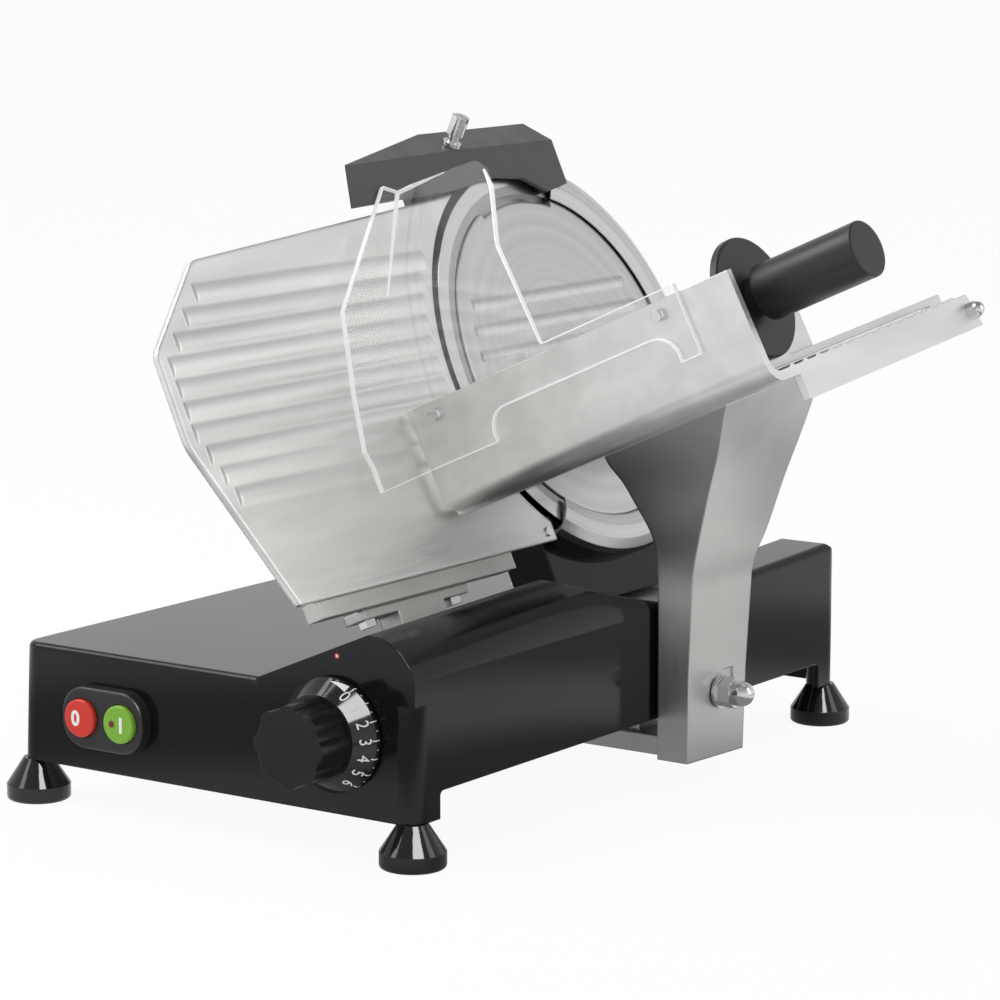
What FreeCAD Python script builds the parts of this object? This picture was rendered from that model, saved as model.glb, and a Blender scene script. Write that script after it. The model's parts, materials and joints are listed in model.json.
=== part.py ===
import FreeCAD, Part
import math
import os

# Electric gravity-feed slicer with a 250 mm blade. Millimetres, +Z up.
# X is the operator's right, Y points away from the operator.
# The head leans to the left: its own frame has n square to the blade (towards the food), y along the
# carriage and v up the blade plane. The tray has a third frame, pitched about n by TRAY_PITCH.

V = FreeCAD.Vector

# ---------------------------------------------------------------- driving dimensions: base
BASE_HALF_X = 148.3
BASE_HALF_Y = 234.4
DECK_Z = 98.0
PAD_Z = 25.8
SKIRT_Z = 42.0
LEFT_DRAFT = 0.05
DECK_EDGE_R = 3.5
PAD_LENGTH = 24.6
WALL = 4.0
CORNER_R = 12.0
STEP_R = 3.0
RIM_Z = 113.0
RIM_REAR_Z = 119.5
RIM_WIDTH = 36.3
RIM_EDGE_R = 5.0
RIM_RISE_Y = 60.0
RIM_CORNER_R = 12.0
RIDGE_WIDTH = 112.7
RIDGE_TOP_WIDTH = 31.3
RIDGE_FRONT_Z = 132.6
RIDGE_BACK_Z = 137.6
RIDGE_BACK_Y = -68.0
RIDGE_SHOULDER = (11.3, 7.0)
RIDGE_SIDE_DROP = 4.0
RIDGE_HOLLOW = (12.0, 2.0, 12.0, 3.0)
RIDGE_FADE = ((-16.0, 122.4), (55.5, 106.5), (110.0, 97.0))
POST_R = 6.0
CORNER_POST_R = 9.4
COVER_Z = 27.5
COVER_T = 1.5
COVER_INSET = (10.3, 102.3)
COVER_POST_INSET_X = (30.3, 116.3)
COVER_POST_INSET_Y = 20.4
COVER_SCREW_R = 1.5
COVER_SCREW_DEPTH = 8.0
COVER_SCREW_HEAD = (3.2, 1.8)
GLAND_INSET_X = 38.3
GLAND_Z = 62.0
GLAND_R = 7.0
GLAND_FLANGE = (9.5, 4.0)
GLAND_NOSE = 11.0
GLAND_CABLE_R = 4.0
GLAND_NUT = (17.0, 4.0)

# ---------------------------------------------------------------- driving dimensions: blade head
TILT = 24.1
PLANE_INSET = 7.7
BLADE_D = 250.0
BLADE_Y = 97.0
BLADE_BORE_R = 20.0
BLADE_BACK = -9.0
BLADE_DISH = -5.0
BLADE_BAND = 16.0
BLADE_EDGE = 0.5
COVER_GAP = 1.2
COVER_BACK = -4.0
COVER_RIBS = 6
COVER_RIB_PITCH = 16.5
COVER_RIB_INSET = 14.0
COVER_BOSS_R = 9.0
SHARPENER_GAP = (-23.0, 19.5)
SHARPENER_GAP_DEPTH = 4.3
RING_GAP = 0.4
RING_OVER = 7.7
RING_SHEET = 3.0
RING_FRONT = 3.6
RING_START = 19.0
RING_END = 215.0
RING_FLANGE = 14.7
RING_FLANGE_T = 2.5
RING_LIP = (1.2, 2.2)
RING_CROWN = (4.0, 0.6)
RING_EDGE = (2.0, 4.0)
RING_BEND = 0.5
RING_SCREW = (1.6, 3.2)
RING_SCREW_ANGLES = (30.0, 105.0, 180.0)
TOWER_FRONT = -14.0
TOWER_BACK = -46.0
TOWER_HALF_Y = 80.0
TOWER_OVER = 3.0
TOWER_BOTTOM_V = 88.0
COLUMN_CLEARANCE = 1.5
BOSS_R = 21.0
BOSS_T = 6.0
SHAFT_R = 10.0
SHAFT_BORE_R = 5.0
SHAFT_BACK = -52.0
HUB_R = 38.0
HUB_BACK = -13.0
BEARING_R = 16.0
BEARING_LENGTH = 8.0
FIT = 0.05
PULLEY_FRONT = -27.0
PULLEY_WIDTH = 12.0
BLADE_PULLEY_R = 55.0
MOTOR_PULLEY_R = 11.0
BELT_GAP = 0.3
BELT_T = 2.5
TIE_R = 4.0
TIE_KNOB_R = 17.0
TIE_KNOB_BACK = 18.0
TIE_KNOB_FRONT = 4.0
TIE_KNOB_DIPS = 6
TIE_KNOB_DIP_R = 6.0
TIE_END = 16.0
BLADE_SCREWS = 4
BLADE_SCREW_RADIUS = 29.0
BLADE_SCREW = (2.5, 4.5, 2.0)
BLADE_BEVEL = 21.0
BLADE_BAND_BACK = 1.0
HUB_RECESS_R = 11.0
PULLEY_RIM = 5.0
PULLEY_CORE_R = 17.0
PULLEY_HOLLOW = 4.0

# ---------------------------------------------------------------- driving dimensions: motor
MOTOR_V = 112.0
MOTOR_R = 33.0
MOTOR_FRONT = -50.0
MOTOR_BACK = -94.0
BELL_R = 40.0
BELL_WALL = 3.5
BELL_BACK = -100.0
MOTOR_SHAFT_R = 5.0
MOTOR_SHAFT_END = 20.0
MOTOR_EDGE_R = 4.0
PULLEY_CAP = 2.0

# ---------------------------------------------------------------- driving dimensions: gauge plate
GAUGE_T = 4.0
GAUGE_BOTTOM_V = 159.8
BLADE_DROP = 11.8
GAUGE_RIGHT = 83.0
GAUGE_LEFT = (340.0, 386.5, 330.0, 35.0)
GAUGE_SIDE = (-11.0, 44.0)
GAUGE_TOP_DROP = (30.4, 9.0)
GAUGE_CORNERS = (3.0, 26.0, 12.0, 14.0, 3.0)
GAUGE_CUT = 6.0
GAUGE_RIBS = 10
GAUGE_RIB_DROP = 45.0
GAUGE_RIB_PITCH = 13.3
GAUGE_RIB = (12.4, 1.5)
GAUGE_SCREW_UP = 6.2
GAUGE_SCREW_IN = 6.0
GAUGE_SCREW_R = 1.6
GAUGE_SCREW_HEAD = (3.0, 1.2)
RIB_W = 7.0
RIB_H = 1.3
RIB_INSET = 8.0
GAUGE_TRAVEL = 11.0
BRACKET_Y = (-227.0, -35.0)
BRACKET_DEPTH = 10.5
BRACKET_T = 12.0
BRACKET_RISE = 36.0
BRACKET_FLANGE_T = 5.0
CARRIER_Y = (-181.0, -100.0)
CARRIER_N = (-46.0, -8.0)
CARRIER_V = (95.0, 114.0)
GAUGE_POST_Y = (-150.0, -105.0)
GAUGE_POST_N = (-24.0, -8.0)
POST_SLOT_GAP = 3.0
GAUGE_ROD_R = 5.0
GAUGE_ROD_V = 104.5
GAUGE_ROD_Y = (-165.0, -115.0)
GAUGE_ROD_N = (-93.0, 5.0)
LUG_T = 7.0
LUG_BOTTOM_V = 97.0
LUG_RISE = 60.0
BOLT_Y = (-172.0, -88.0)
BOLT_N = -15.0
BOLT_R = 3.0
BOLT_HEAD = (10.0, 4.5)
FLANGE_T = 6.0
FLANGE_REACH = 9.0

# ---------------------------------------------------------------- driving dimensions: thickness knob
KNOB_TO_ROD = 30.0
KNOB_Z = 72.4
DIAL_R = 33.5
DIAL_FRONT_R = 25.5
DIAL_LENGTH = 15.0
DIAL_GAP = 1.5
DIAL_RIM = 3.0
GRIP_R = 24.4
GRIP_LOBES = 8
GRIP_LOBE_R = 7.0
GRIP_REACH = 43.0
GRIP_FLUTE = 2.2
GRIP_END = 7.0
KNOB_SHAFT_R = 5.0
CAM_R = 24.2
CAM_FRONT_Y = -190.0
CAM_T = 6.0
CAM_START_R = 9.5
CAM_TURN = 300.0
CAM_PIN_R = 2.2
CAM_CLEARANCE = 0.5
CAM_TAB = (7.0, 9.0, 6.0)
GROOVE_STEPS = 40

# ---------------------------------------------------------------- driving dimensions: switch
SWITCH_INSET_X = 73.3
SWITCH_Z = 59.4
SWITCH_W = 61.5
SWITCH_H = 37.5
SWITCH_DEPTH = 8.6
BUTTON_R = 11.5
BUTTON_PITCH = 30.2
BUTTON_PROUD = 3.0
BUTTON_TRAVEL = 2.5
BUTTON_GAP = 0.4
BUTTON_EDGE_R = 1.5
BUTTON_REST = 0.8
BUTTON_STEM = (3.5, 6.0)
SWITCH_COLLAR = 1.0
SWITCH_EDGE_R = 2.0
SWITCH_FLAT = 2.5
CONTACT_DEPTH = 26.0
CONTACT_W = 58.0
CONTACT_H = 34.0
CONTACT_POCKET = (9.0, 12.0)
CAPACITOR_R = 16.0
CAPACITOR_Y = (40.0, 112.0)
CAPACITOR_INSET_X = 40.3
CAPACITOR_FOOT = (10.0, 20.0)

# ---------------------------------------------------------------- driving dimensions: feet
FOOT_R = 19.4
FOOT_INSET_X = 7.7
FOOT_INSET_Y = 8.65
FOOT_RIM_Z = 9.7
FOOT_TOP_R = 8.9
FOOT_EDGE_R = 2.5
STUD_R = 3.0
STUD_TOP_Z = 40.0

# ---------------------------------------------------------------- driving dimensions: carriage
TRAY_PITCH = 5.4
TRAY_AHEAD = 186.7
TRAY_RISE = 31.0
TRAY_LEFT = 5.5
TRAY_RIGHT = 249.4
TRAY_FLOOR = -4.6
TRAY_T = 6.0
TRAY_WALL_T = 5.0
TRAY_WALL_TOP = 64.8
TRAY_BACK = 235.0
TRAY_BEND_R = 14.0
TRAY_RIBS = 14
TRAY_RIB_START = 26.0
TRAY_RIB_END = 7.5
TRAY_CORNER_R = 12.0
TRAY_CORNER_DEPTH = 8.0
LIP_FRONT = 31.0
LIP_OVER = 17.0
LIP_LEAN = 5.5
LIP_BOTTOM = -20.0
LIP_T = 5.0
FOOT_BAR_OVER = 4.0
FOOT_BAR_Y = (16.0, 64.0)
FOOT_BAR_Z = (19.0, 31.0)
ROD_INSET = 26.3
ROD_Z = 57.0
ROD_R = 8.0
BUSH_R = 11.0
BUSH_LENGTH = 15.0
BLOCK_HALF = 15.5
BAR_INSET = 64.3
BAR_W = 12.0
BAR_Z = (34.0, 41.0)
BAR_GAP = 0.5
SHOE_WALL = 3.2
SHOE_ROOF = 2.5
SHOE_INSET = 9.0
BLOCK_STEM = (10.0, 5.0)
ARM_CLEARANCE = 2.9
ARM_BOTTOM_Z = 17.2
ARM_POST_ROWS = (
    ((0.0, 12.0, 0.0), (21.9, 11.5, 0.0), (26.2, 69.0, 0.0), (0.0, 69.0, 0.0)),
    ((0.0, 12.0, 0.336), (22.0, 12.5, 0.336), (26.4, 71.0, 0.336), (0.0, 71.0, 0.336)),
    ((0.0, 11.5, 0.668), (22.4, 15.5, 0.668), (27.4, 75.0, 0.668), (0.0, 75.0, 0.668)),
    ((0.0, 6.5, 0.865), (30.8, 9.0, 0.897), (33.3, 79.5, 0.846), (0.0, 80.0, 0.846)),
)
ARM_WING_ROWS = (
    ((89.9, 75.7, 2.8), (136.3, 81.7, 15.8), (133.3, 170.7, 8.8), (89.9, 171.7, 1.8)),
    ((95.8, 47.7, 24.8), (161.3, 51.7, 45.8), (148.3, 169.7, 44.8), (94.3, 171.7, 28.8)),
    ((101.3, 26.7, 36.8), (179.3, 27.7, 67.8), (159.3, 165.7, 68.8), (100.3, 169.7, 46.8)),
)
ARM_TOP = ((115.0, 14.5), (206.0, 14.5), (190.0, 160.0), (118.0, 152.0))
ARM_SEAT = 24.4
ARM_SEAT_HALF = 13.0
ARM_BOLT_HEAD = (8.2, 5.0)
ARM_BOLT_Y = 45.0
ARM_BOLT_Z = 57.5
ARM_BOLT_R = 5.0
ARM_BOLT_END = 10.0
NUT_WASHER = (10.6, 2.0)
NUT_HEX = (17.0, 9.0)
NUT_BARREL = (7.8, 4.5)

# ---------------------------------------------------------------- driving dimensions: hand guard
GUARD_T = 3.0
GUARD_SCREW_R = 1.5
GUARD_SCREW_HEAD = (3.4, 1.8)
GUARD_N = 8.0
GUARD_STRIP = (27.0, 70.0)
GUARD_RIGHT = 215.0
GUARD_SCREWS = ((25.2, 56.9), (197.1, 56.9))
GUARD_SLOT = (61.0, 200.0, 16.0, 45.0)
GUARD_SLOT_R = 14.0
GUARD_BEND = ((0.0, 70.0), (24.0, 134.0), (76.0, 192.0))
GUARD_FLAP = (
    (-58.0, 25.5), (-57.0, 41.0), (-59.0, 51.0), (-48.0, 83.0), (-26.0, 134.0), (2.0, 155.0), (60.0, 199.0),
)
GUARD_EDGE = ((116.0, 70.0), (98.0, 134.0), (89.0, 169.0), (82.0, 182.0), (71.0, 190.0))

# ---------------------------------------------------------------- driving dimensions: pusher
PUSH_ROD_R = 4.0
PUSH_ROD_END_R = 3.0
ROD_NUT_AF = 9.4
ROD_NUT_T = 5.0
PUSH_ROD_BEHIND = 8.5
ROD_LUG_YP = (16.0, 6.0)
ROD_LUG_N = (1.0, 7.0)
ROD_LUG_DROP = 6.0
PUSH_ROD_VP = -9.5
PUSH_SLEEVE_R = 5.8
PUSH_SLEEVE_N = (203.0, 241.5)
PUSH_HUB_N = (216.0, 236.0)
PUSH_HUB_R = 8.0
PUSH_COLLAR = 3.0
DISC_YP = 44.8
DISC_VP = 45.5
DISC_R = 36.6
DISC_N = (229.0, 234.0)
HANDLE_R = 16.9
HANDLE_STUD_R = 4.0
HANDLE_NECK = (5.0, 7.0)
HANDLE_EDGE_R = 1.2
DISC_EDGE_R = 1.5
HANDLE_END = 313.0
PLATE_N = (217.0, 223.0)
PLATE_YP = (14.0, 100.0)
PLATE_TOP = 52.0
PLATE_HUB = (18.0, 14.0)
TEETH = 8
TOOTH = (2.4, 4.0)
TOOTH_PITCH = 5.5
STRAP_VP = (3.3, 8.0)

# ---------------------------------------------------------------- driving dimensions: sharpener
HOOD_FRONT = 6.8
HOOD_BACK = -46.0
HOOD_WALL = 2.8
HOOD_LEFT = 170.5
HOOD_END_SLANT = 1.38
HOOD_END_LEAN = 0.31
HOOD_LEFT_DROP = 2.0
HOOD_LEFT_CORNER = (1.3, 1.0)
HOOD_BEVEL_SHARE = 0.4
HOOD_LEFT_TOP = 22.0
HOOD_CREASE = 64.0
HOOD_RIGHT = 52.0
HOOD_BOTTOM = -22.0
HOOD_BEVEL = 15.0
HOOD_TOP = 33.0
HOOD_BEVEL_N = -10.0
HOOD_REAR = 5.0
PLATE_SWEEP = -6.0
HOOD_HEM = ((-187.0, -13.7), (-70.0, -10.0), (-20.0, -5.0), (6.0, -8.0), (28.0, -19.0), (53.0, -15.0))
HOOD_GAP = 0.5
SCREW_LEFT = 52.0
SCREW_SEAT = 0.25
SCREW_HEAD_R = 5.6
SCREW_NECK_R = 4.0
SCREW_HEAD = 12.5
SCREW_NECK = 8.0
SCREW_SLOT = (1.6, 3.0)
SCREW_COLLAR = (0.4, 0.3, 3.0)
SCREW_WALL = 1.0
SCREW_SLIM = 0.6
SCREW_END = 22.0
SCREW_BORE = (24.0, 2.0)
STONE_R = 10.0
STONE_UP = 12.0
STONE_SIDES = (-25.0, 21.0)
SPINDLE_R = 2.5
BLOCK_N = (-38.0, -17.0)
BLOCK_SIDES = (12.0, 10.0)
BLOCK_NECK = (9.0, -6.0, 3.0, 2.0)
SPINDLE_BORE = (-27.0, -10.0)
SPINDLE_BACK = -26.0
STONE_N = (-13.0, -6.0)

# ---------------------------------------------------------------- derived sizes
BLADE_R = BLADE_D / 2
BLADE_V = GAUGE_BOTTOM_V + BLADE_R - BLADE_DROP
BLADE_TOP_V = BLADE_V + BLADE_R
BLADE_BAND_R = BLADE_R - BLADE_BAND
COVER_R = BLADE_BAND_R - COVER_GAP
RING_INNER_R = COVER_R + RING_GAP
RING_OUTER_R = BLADE_R + RING_OVER
RING_FLANGE_R = RING_OUTER_R - RING_FLANGE
TOWER_R = BLADE_R + TOWER_OVER
GAUGE_CUT_R = BLADE_R + GAUGE_CUT
PLANE_X = BASE_HALF_X - PLANE_INSET
RIM_INNER_X = BASE_HALF_X - RIM_WIDTH
RIDGE_FOOT_X = BASE_HALF_X - RIDGE_WIDTH
RIDGE_TOP_X = BASE_HALF_X - RIDGE_TOP_WIDTH
FOOT_X = BASE_HALF_X - FOOT_INSET_X
FOOT_Y = BASE_HALF_Y - FOOT_INSET_Y
ROD_X = BASE_HALF_X - ROD_INSET
KNOB_X = ROD_X - KNOB_TO_ROD
BAR_X = (BASE_HALF_X - BAR_INSET, BASE_HALF_X - BAR_INSET + BAR_W)
ARM_INNER_X = BASE_HALF_X + ARM_CLEARANCE
ARM_SEAT_X = ARM_INNER_X + ARM_SEAT
FOOT_BAR_X = (BAR_X[0] - FOOT_BAR_OVER, ARM_INNER_X)
SWITCH_X = SWITCH_INSET_X - BASE_HALF_X
TRAY_Y = BLADE_Y - TRAY_AHEAD
TRAY_V = GAUGE_BOTTOM_V + TRAY_RISE
CARRIER_TOP_V = GAUGE_BOTTOM_V - BRACKET_DEPTH
HOOD_LEFT_Y = BLADE_Y - HOOD_LEFT
HOOD_CREASE_Y = BLADE_Y - HOOD_CREASE
HOOD_RIGHT_Y = BLADE_Y + HOOD_RIGHT
HOOD_LEFT_TOP_V = BLADE_TOP_V + HOOD_LEFT_TOP
HOOD_BOTTOM_V = BLADE_TOP_V + HOOD_BOTTOM
HOOD_BEVEL_V = BLADE_TOP_V + HOOD_BEVEL
HOOD_TOP_V = BLADE_TOP_V + HOOD_TOP
HOOD_REAR_V = BLADE_TOP_V + HOOD_REAR
PLATE_SWEEP_V = BLADE_TOP_V + PLATE_SWEEP
SCREW_Y = BLADE_Y - SCREW_LEFT
STONE_V = BLADE_TOP_V + STONE_UP
STONE_Y = tuple(BLADE_Y + side for side in STONE_SIDES)
PULLEY_BACK = PULLEY_FRONT - PULLEY_WIDTH
KNOB_N = (KNOB_X - PLANE_X) * math.cos(math.radians(TILT)) + KNOB_Z * math.sin(math.radians(TILT))
KNOB_V = -(KNOB_X - PLANE_X) * math.sin(math.radians(TILT)) + KNOB_Z * math.cos(math.radians(TILT))
FACE_Y = -BASE_HALF_Y
INNER_X = BASE_HALF_X - WALL
INNER_Y = BASE_HALF_Y - WALL
TRAY_TOP = TRAY_FLOOR + TRAY_T
TRAY_RIB_PITCH = (TRAY_BACK - TRAY_RIB_START - TRAY_RIB_END) / (TRAY_RIBS - 1)
LIP_BACK = TRAY_BACK + LIP_OVER
PUSH_ROD_YP = TRAY_BACK + PUSH_ROD_BEHIND
GRIP_FRONT_Y = FACE_Y - GRIP_REACH
DIAL_BACK_Y = FACE_Y - DIAL_GAP
DIAL_FRONT_Y = DIAL_BACK_Y - DIAL_LENGTH


# ---------------------------------------------------------------- helpers
def box(x, y, z):
    return Part.makeBox(x[1] - x[0], y[1] - y[0], z[1] - z[0], V(x[0], y[0], z[0]))


def rod(radius, start, end):
    axis = V(*end) - V(*start)
    return Part.makeCylinder(radius, axis.Length, V(*start), axis)


def tube(outer, inner, start, end):
    return rod(outer, start, end).cut(rod(inner, start, end))


def hexagon(flats, start, end):
    axis = V(*end) - V(*start)
    corner = flats / math.sqrt(3)
    turns = [math.radians(60 * i) for i in range(7)]
    wire = Part.makePolygon([V(corner * math.cos(t), corner * math.sin(t), 0) for t in turns])
    prism = Part.Face(wire).extrude(V(0, 0, axis.Length))
    prism.Placement = FreeCAD.Placement(V(*start), FreeCAD.Rotation(V(0, 0, 1), axis))
    return prism


def joined(shapes):
    whole = shapes[0].multiFuse(list(shapes[1:])) if len(shapes) > 1 else shapes[0]
    return whole.removeSplitter()


def rounded_outline(corners, radii):
    """Closed wire in the XY plane through the corners, each rounded by its own radius."""
    edges = []
    starts = []
    count = len(corners)
    for i, (corner, radius) in enumerate(zip(corners, radii)):
        here = V(corner[0], corner[1], 0)
        before = V(*corners[i - 1], 0) - here
        after = V(*corners[(i + 1) % count], 0) - here
        before.normalize()
        after.normalize()
        half = before.getAngle(after) / 2
        reach = radius / math.tan(half)
        middle = (before + after).normalize() * (radius / math.sin(half) - radius)
        starts.append((here + before * reach, here + middle, here + after * reach))
    for i, (start, middle, end) in enumerate(starts):
        if radii[i] > 0:
            edges.append(Part.Arc(start, middle, end).toShape())
        edges.append(Part.makeLine(end, starts[(i + 1) % count][0]))
    return Part.Wire(edges)


def plate_yv(outline, back, front):
    """Plate from a wire whose x and y are the head's y and v, between two n values."""
    face = Part.Face(outline)
    solid = face.extrude(V(0, 0, front - back))
    solid.Placement = FreeCAD.Placement(V(back, 0, 0), FreeCAD.Rotation(V(0, 1, 0), V(0, 0, 1), V(1, 0, 0)))
    return solid


def profile_along_y(points, start, end):
    """Prism along y of a closed polygon given as (x, z) pairs."""
    wire = Part.makePolygon([V(x, start, z) for x, z in list(points) + [points[0]]])
    return Part.Face(wire).extrude(V(0, end - start, 0))


def profile_along_x(points, start, end):
    """Prism along x of a closed polygon given as (y, z) pairs."""
    wire = Part.makePolygon([V(start, y, z) for y, z in list(points) + [points[0]]])
    return Part.Face(wire).extrude(V(end - start, 0, 0))


def head(shape):
    """Place a shape given in the head's frame (n, y, v)."""
    placed = shape.copy()
    placed.rotate(V(0, 0, 0), V(0, 1, 0), -TILT)
    placed.translate(V(PLANE_X, 0, 0))
    return placed


def on_tray(shape):
    """Place a shape given in the tray's frame (n, yp, vp)."""
    placed = shape.copy()
    placed.rotate(V(0, 0, 0), V(1, 0, 0), TRAY_PITCH)
    placed.translate(V(0, TRAY_Y, TRAY_V))
    return head(placed)


def head_point(n, y, v):
    lean = math.radians(TILT)
    return (PLANE_X + n * math.cos(lean) - v * math.sin(lean), y, n * math.sin(lean) + v * math.cos(lean))


def tray_point(n, yp, vp):
    pitch = math.radians(TRAY_PITCH)
    y = TRAY_Y + yp * math.cos(pitch) - vp * math.sin(pitch)
    v = TRAY_V + yp * math.sin(pitch) + vp * math.cos(pitch)
    return head_point(n, y, v)


def blade_axis(n):
    return (n, BLADE_Y, BLADE_V)


def turned(points):
    """Solid of revolution about the blade axis of a closed (radius, n) polygon."""
    wire = Part.makePolygon([V(n, BLADE_Y + r, BLADE_V) for r, n in list(points) + [points[0]]])
    return Part.Face(wire).revolve(V(*blade_axis(0)), V(1, 0, 0), 360)


# ---------------------------------------------------------------- base
def footprint(bottom, top):
    """Rounded plan of the base between two heights; the left side leans in by LEFT_DRAFT per mm."""
    rings = []
    for z in (bottom, top):
        left = -BASE_HALF_X + LEFT_DRAFT * (z - PAD_Z)
        corners = [(left, -BASE_HALF_Y), (BASE_HALF_X, -BASE_HALF_Y)]
        corners += [(BASE_HALF_X, BASE_HALF_Y), (left, BASE_HALF_Y)]
        ring = rounded_outline(corners, [CORNER_R] * 4)
        ring.translate(V(0, 0, z))
        rings.append(ring)
    return Part.makeLoft(rings, True, True)


def ridge_section(y, top_z):
    """Ridge outline at one y: long left slope, rounded crest, right face."""
    shoulder_x = BASE_HALF_X - RIDGE_SHOULDER[0]
    drop = RIDGE_SHOULDER[1]
    low_z = RIM_Z - RIDGE_SIDE_DROP
    slope = Part.makeLine(V(RIDGE_FOOT_X, y, DECK_Z), V(RIDGE_TOP_X, y, top_z))
    crest = Part.Arc(V(RIDGE_TOP_X, y, top_z), V(shoulder_x, y, top_z - drop), V(BASE_HALF_X, y, low_z))
    side = Part.makeLine(V(BASE_HALF_X, y, low_z), V(BASE_HALF_X, y, DECK_Z - WALL))
    low = Part.makeLine(V(BASE_HALF_X, y, DECK_Z - WALL), V(RIDGE_FOOT_X, y, DECK_Z - WALL))
    close = Part.makeLine(V(RIDGE_FOOT_X, y, DECK_Z - WALL), V(RIDGE_FOOT_X, y, DECK_Z))
    return Part.Wire([slope, crest.toShape(), side, low, close])


def ridge():
    front = ridge_section(-BASE_HALF_Y, RIDGE_FRONT_Z)
    back = ridge_section(RIDGE_BACK_Y, RIDGE_BACK_Z)
    far = ridge_section(RIDGE_FADE[-1][0], RIDGE_BACK_Z)
    solid = Part.makeLoft([front, back], True, True).fuse(Part.makeLoft([back, far], True, True))
    sky = RIDGE_BACK_Z + WALL
    fade_start = (RIDGE_BACK_Y, RIDGE_BACK_Z + 1)
    curve = Part.BSplineCurve()
    curve.interpolate([V(0, y, z) for y, z in (fade_start,) + RIDGE_FADE])
    end = RIDGE_FADE[-1]
    edges = [
        curve.toShape(),
        Part.makeLine(V(0, *end), V(0, end[0] + 1, sky)),
        Part.makeLine(V(0, end[0] + 1, sky), V(0, fade_start[0], sky)),
        Part.makeLine(V(0, fade_start[0], sky), V(0, *fade_start)),
    ]
    return solid.cut(Part.Face(Part.Wire(edges)).extrude(V(BASE_HALF_X + 1, 0, 0)))


def rim():
    """Raised right-hand border of the deck, higher at the back."""
    outline = [(-BASE_HALF_Y, DECK_Z - WALL), (-BASE_HALF_Y, RIM_Z), (RIM_RISE_Y, RIM_Z)]
    outline += [(BASE_HALF_Y - RIM_CORNER_R, RIM_REAR_Z), (BASE_HALF_Y, RIM_REAR_Z - RIM_CORNER_R)]
    outline += [(BASE_HALF_Y, DECK_Z - WALL)]
    block = profile_along_x(outline, RIM_INNER_X, BASE_HALF_X)
    right = [e for e in block.Edges if abs(e.CenterOfMass.x - BASE_HALF_X) < 0.1]
    long_edge = [e for e in right if e.CenterOfMass.z > RIM_Z - 1 and e.Length > RIM_CORNER_R * 2]
    return block.makeFillet(RIM_EDGE_R, long_edge)


def tower_outer():
    y = (BLADE_Y - TOWER_HALF_Y, BLADE_Y + TOWER_HALF_Y)
    column = box((TOWER_BACK, TOWER_FRONT), y, (TOWER_BOTTOM_V, BLADE_V))
    disc = rod(TOWER_R, blade_axis(TOWER_BACK), blade_axis(TOWER_FRONT))
    bell = rod(BELL_R, (BELL_BACK, BLADE_Y, MOTOR_V), (TOWER_BACK, BLADE_Y, MOTOR_V))
    return joined([column, disc, bell])


def tower_inner():
    y = (BLADE_Y - TOWER_HALF_Y + WALL, BLADE_Y + TOWER_HALF_Y - WALL)
    inside = (TOWER_BACK + WALL, TOWER_FRONT - WALL)
    column = box(inside, y, (0, BLADE_V))
    disc = rod(TOWER_R - WALL, blade_axis(inside[0]), blade_axis(inside[1]))
    bell_r = BELL_R - BELL_WALL
    bell = rod(bell_r, (BELL_BACK + BELL_WALL, BLADE_Y, MOTOR_V), (TOWER_BACK, BLADE_Y, MOTOR_V))
    shaft_hole = rod(MOTOR_SHAFT_R * 2, (TOWER_BACK - 1, BLADE_Y, MOTOR_V), (inside[0] + 1, BLADE_Y, MOTOR_V))
    return joined([column, disc, bell, shaft_hole])


def bearing_bosses():
    front = tube(BOSS_R, BEARING_R, blade_axis(TOWER_FRONT - WALL - BOSS_T), blade_axis(TOWER_FRONT))
    back = tube(BOSS_R, BEARING_R, blade_axis(TOWER_BACK - BOSS_T), blade_axis(TOWER_BACK + WALL))
    return [front, back]


def skirts():
    """Space cut away below the side walls between the corner pads."""
    reach = BASE_HALF_Y - PAD_LENGTH
    gap = box((-BASE_HALF_X - 1, BASE_HALF_X + 1), (-reach, reach), (PAD_Z - 1, SKIRT_Z))
    top_edges = [e for e in gap.Edges if abs(e.CenterOfMass.z - SKIRT_Z) < 0.1 and e.Length > BASE_HALF_X]
    return gap.makeFillet(STEP_R, [e for e in top_edges if abs(abs(e.CenterOfMass.y) - reach) < 0.1])


def cavity():
    main = box((-INNER_X, INNER_X), (-INNER_Y, INNER_Y), (0, DECK_Z - WALL))
    under_rim = box((RIM_INNER_X + WALL, INNER_X), (-INNER_Y, INNER_Y), (DECK_Z - WALL - 1, RIM_Z - WALL))
    foot, left, right, thick = RIDGE_HOLLOW
    slope_z = RIDGE_FRONT_Z - WALL - thick
    roof = [(RIDGE_FOOT_X + foot, DECK_Z - WALL - 1), (RIDGE_FOOT_X + foot, DECK_Z - WALL)]
    roof += [(RIDGE_TOP_X - left, slope_z), (RIDGE_TOP_X + right, slope_z - left)]
    roof += [(INNER_X, RIM_Z - WALL - thick), (INNER_X, DECK_Z - WALL - 1)]
    under_ridge = profile_along_y(roof, -INNER_Y, RIDGE_BACK_Y - 2 * thick)
    return joined([main, under_rim, under_ridge])


def foot_spots():
    return [(x, y) for x in (-FOOT_X, FOOT_X) for y in (-FOOT_Y, FOOT_Y)]


def corner_posts():
    return [rod(CORNER_POST_R, (x, y, PAD_Z), (x, y, DECK_Z - WALL)) for x, y in foot_spots()]


def cover_spots():
    y = BASE_HALF_Y - COVER_POST_INSET_Y
    xs = (COVER_POST_INSET_X[0] - BASE_HALF_X, BASE_HALF_X - COVER_POST_INSET_X[1])
    return [(x, side) for x in xs for side in (-y, y)]


def cover_posts():
    return [rod(POST_R, (x, y, COVER_Z + COVER_T), (x, y, DECK_Z - WALL)) for x, y in cover_spots()]


def cover_shank(x, y):
    return rod(COVER_SCREW_R, (x, y, COVER_Z), (x, y, COVER_Z + COVER_T + COVER_SCREW_DEPTH))


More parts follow.
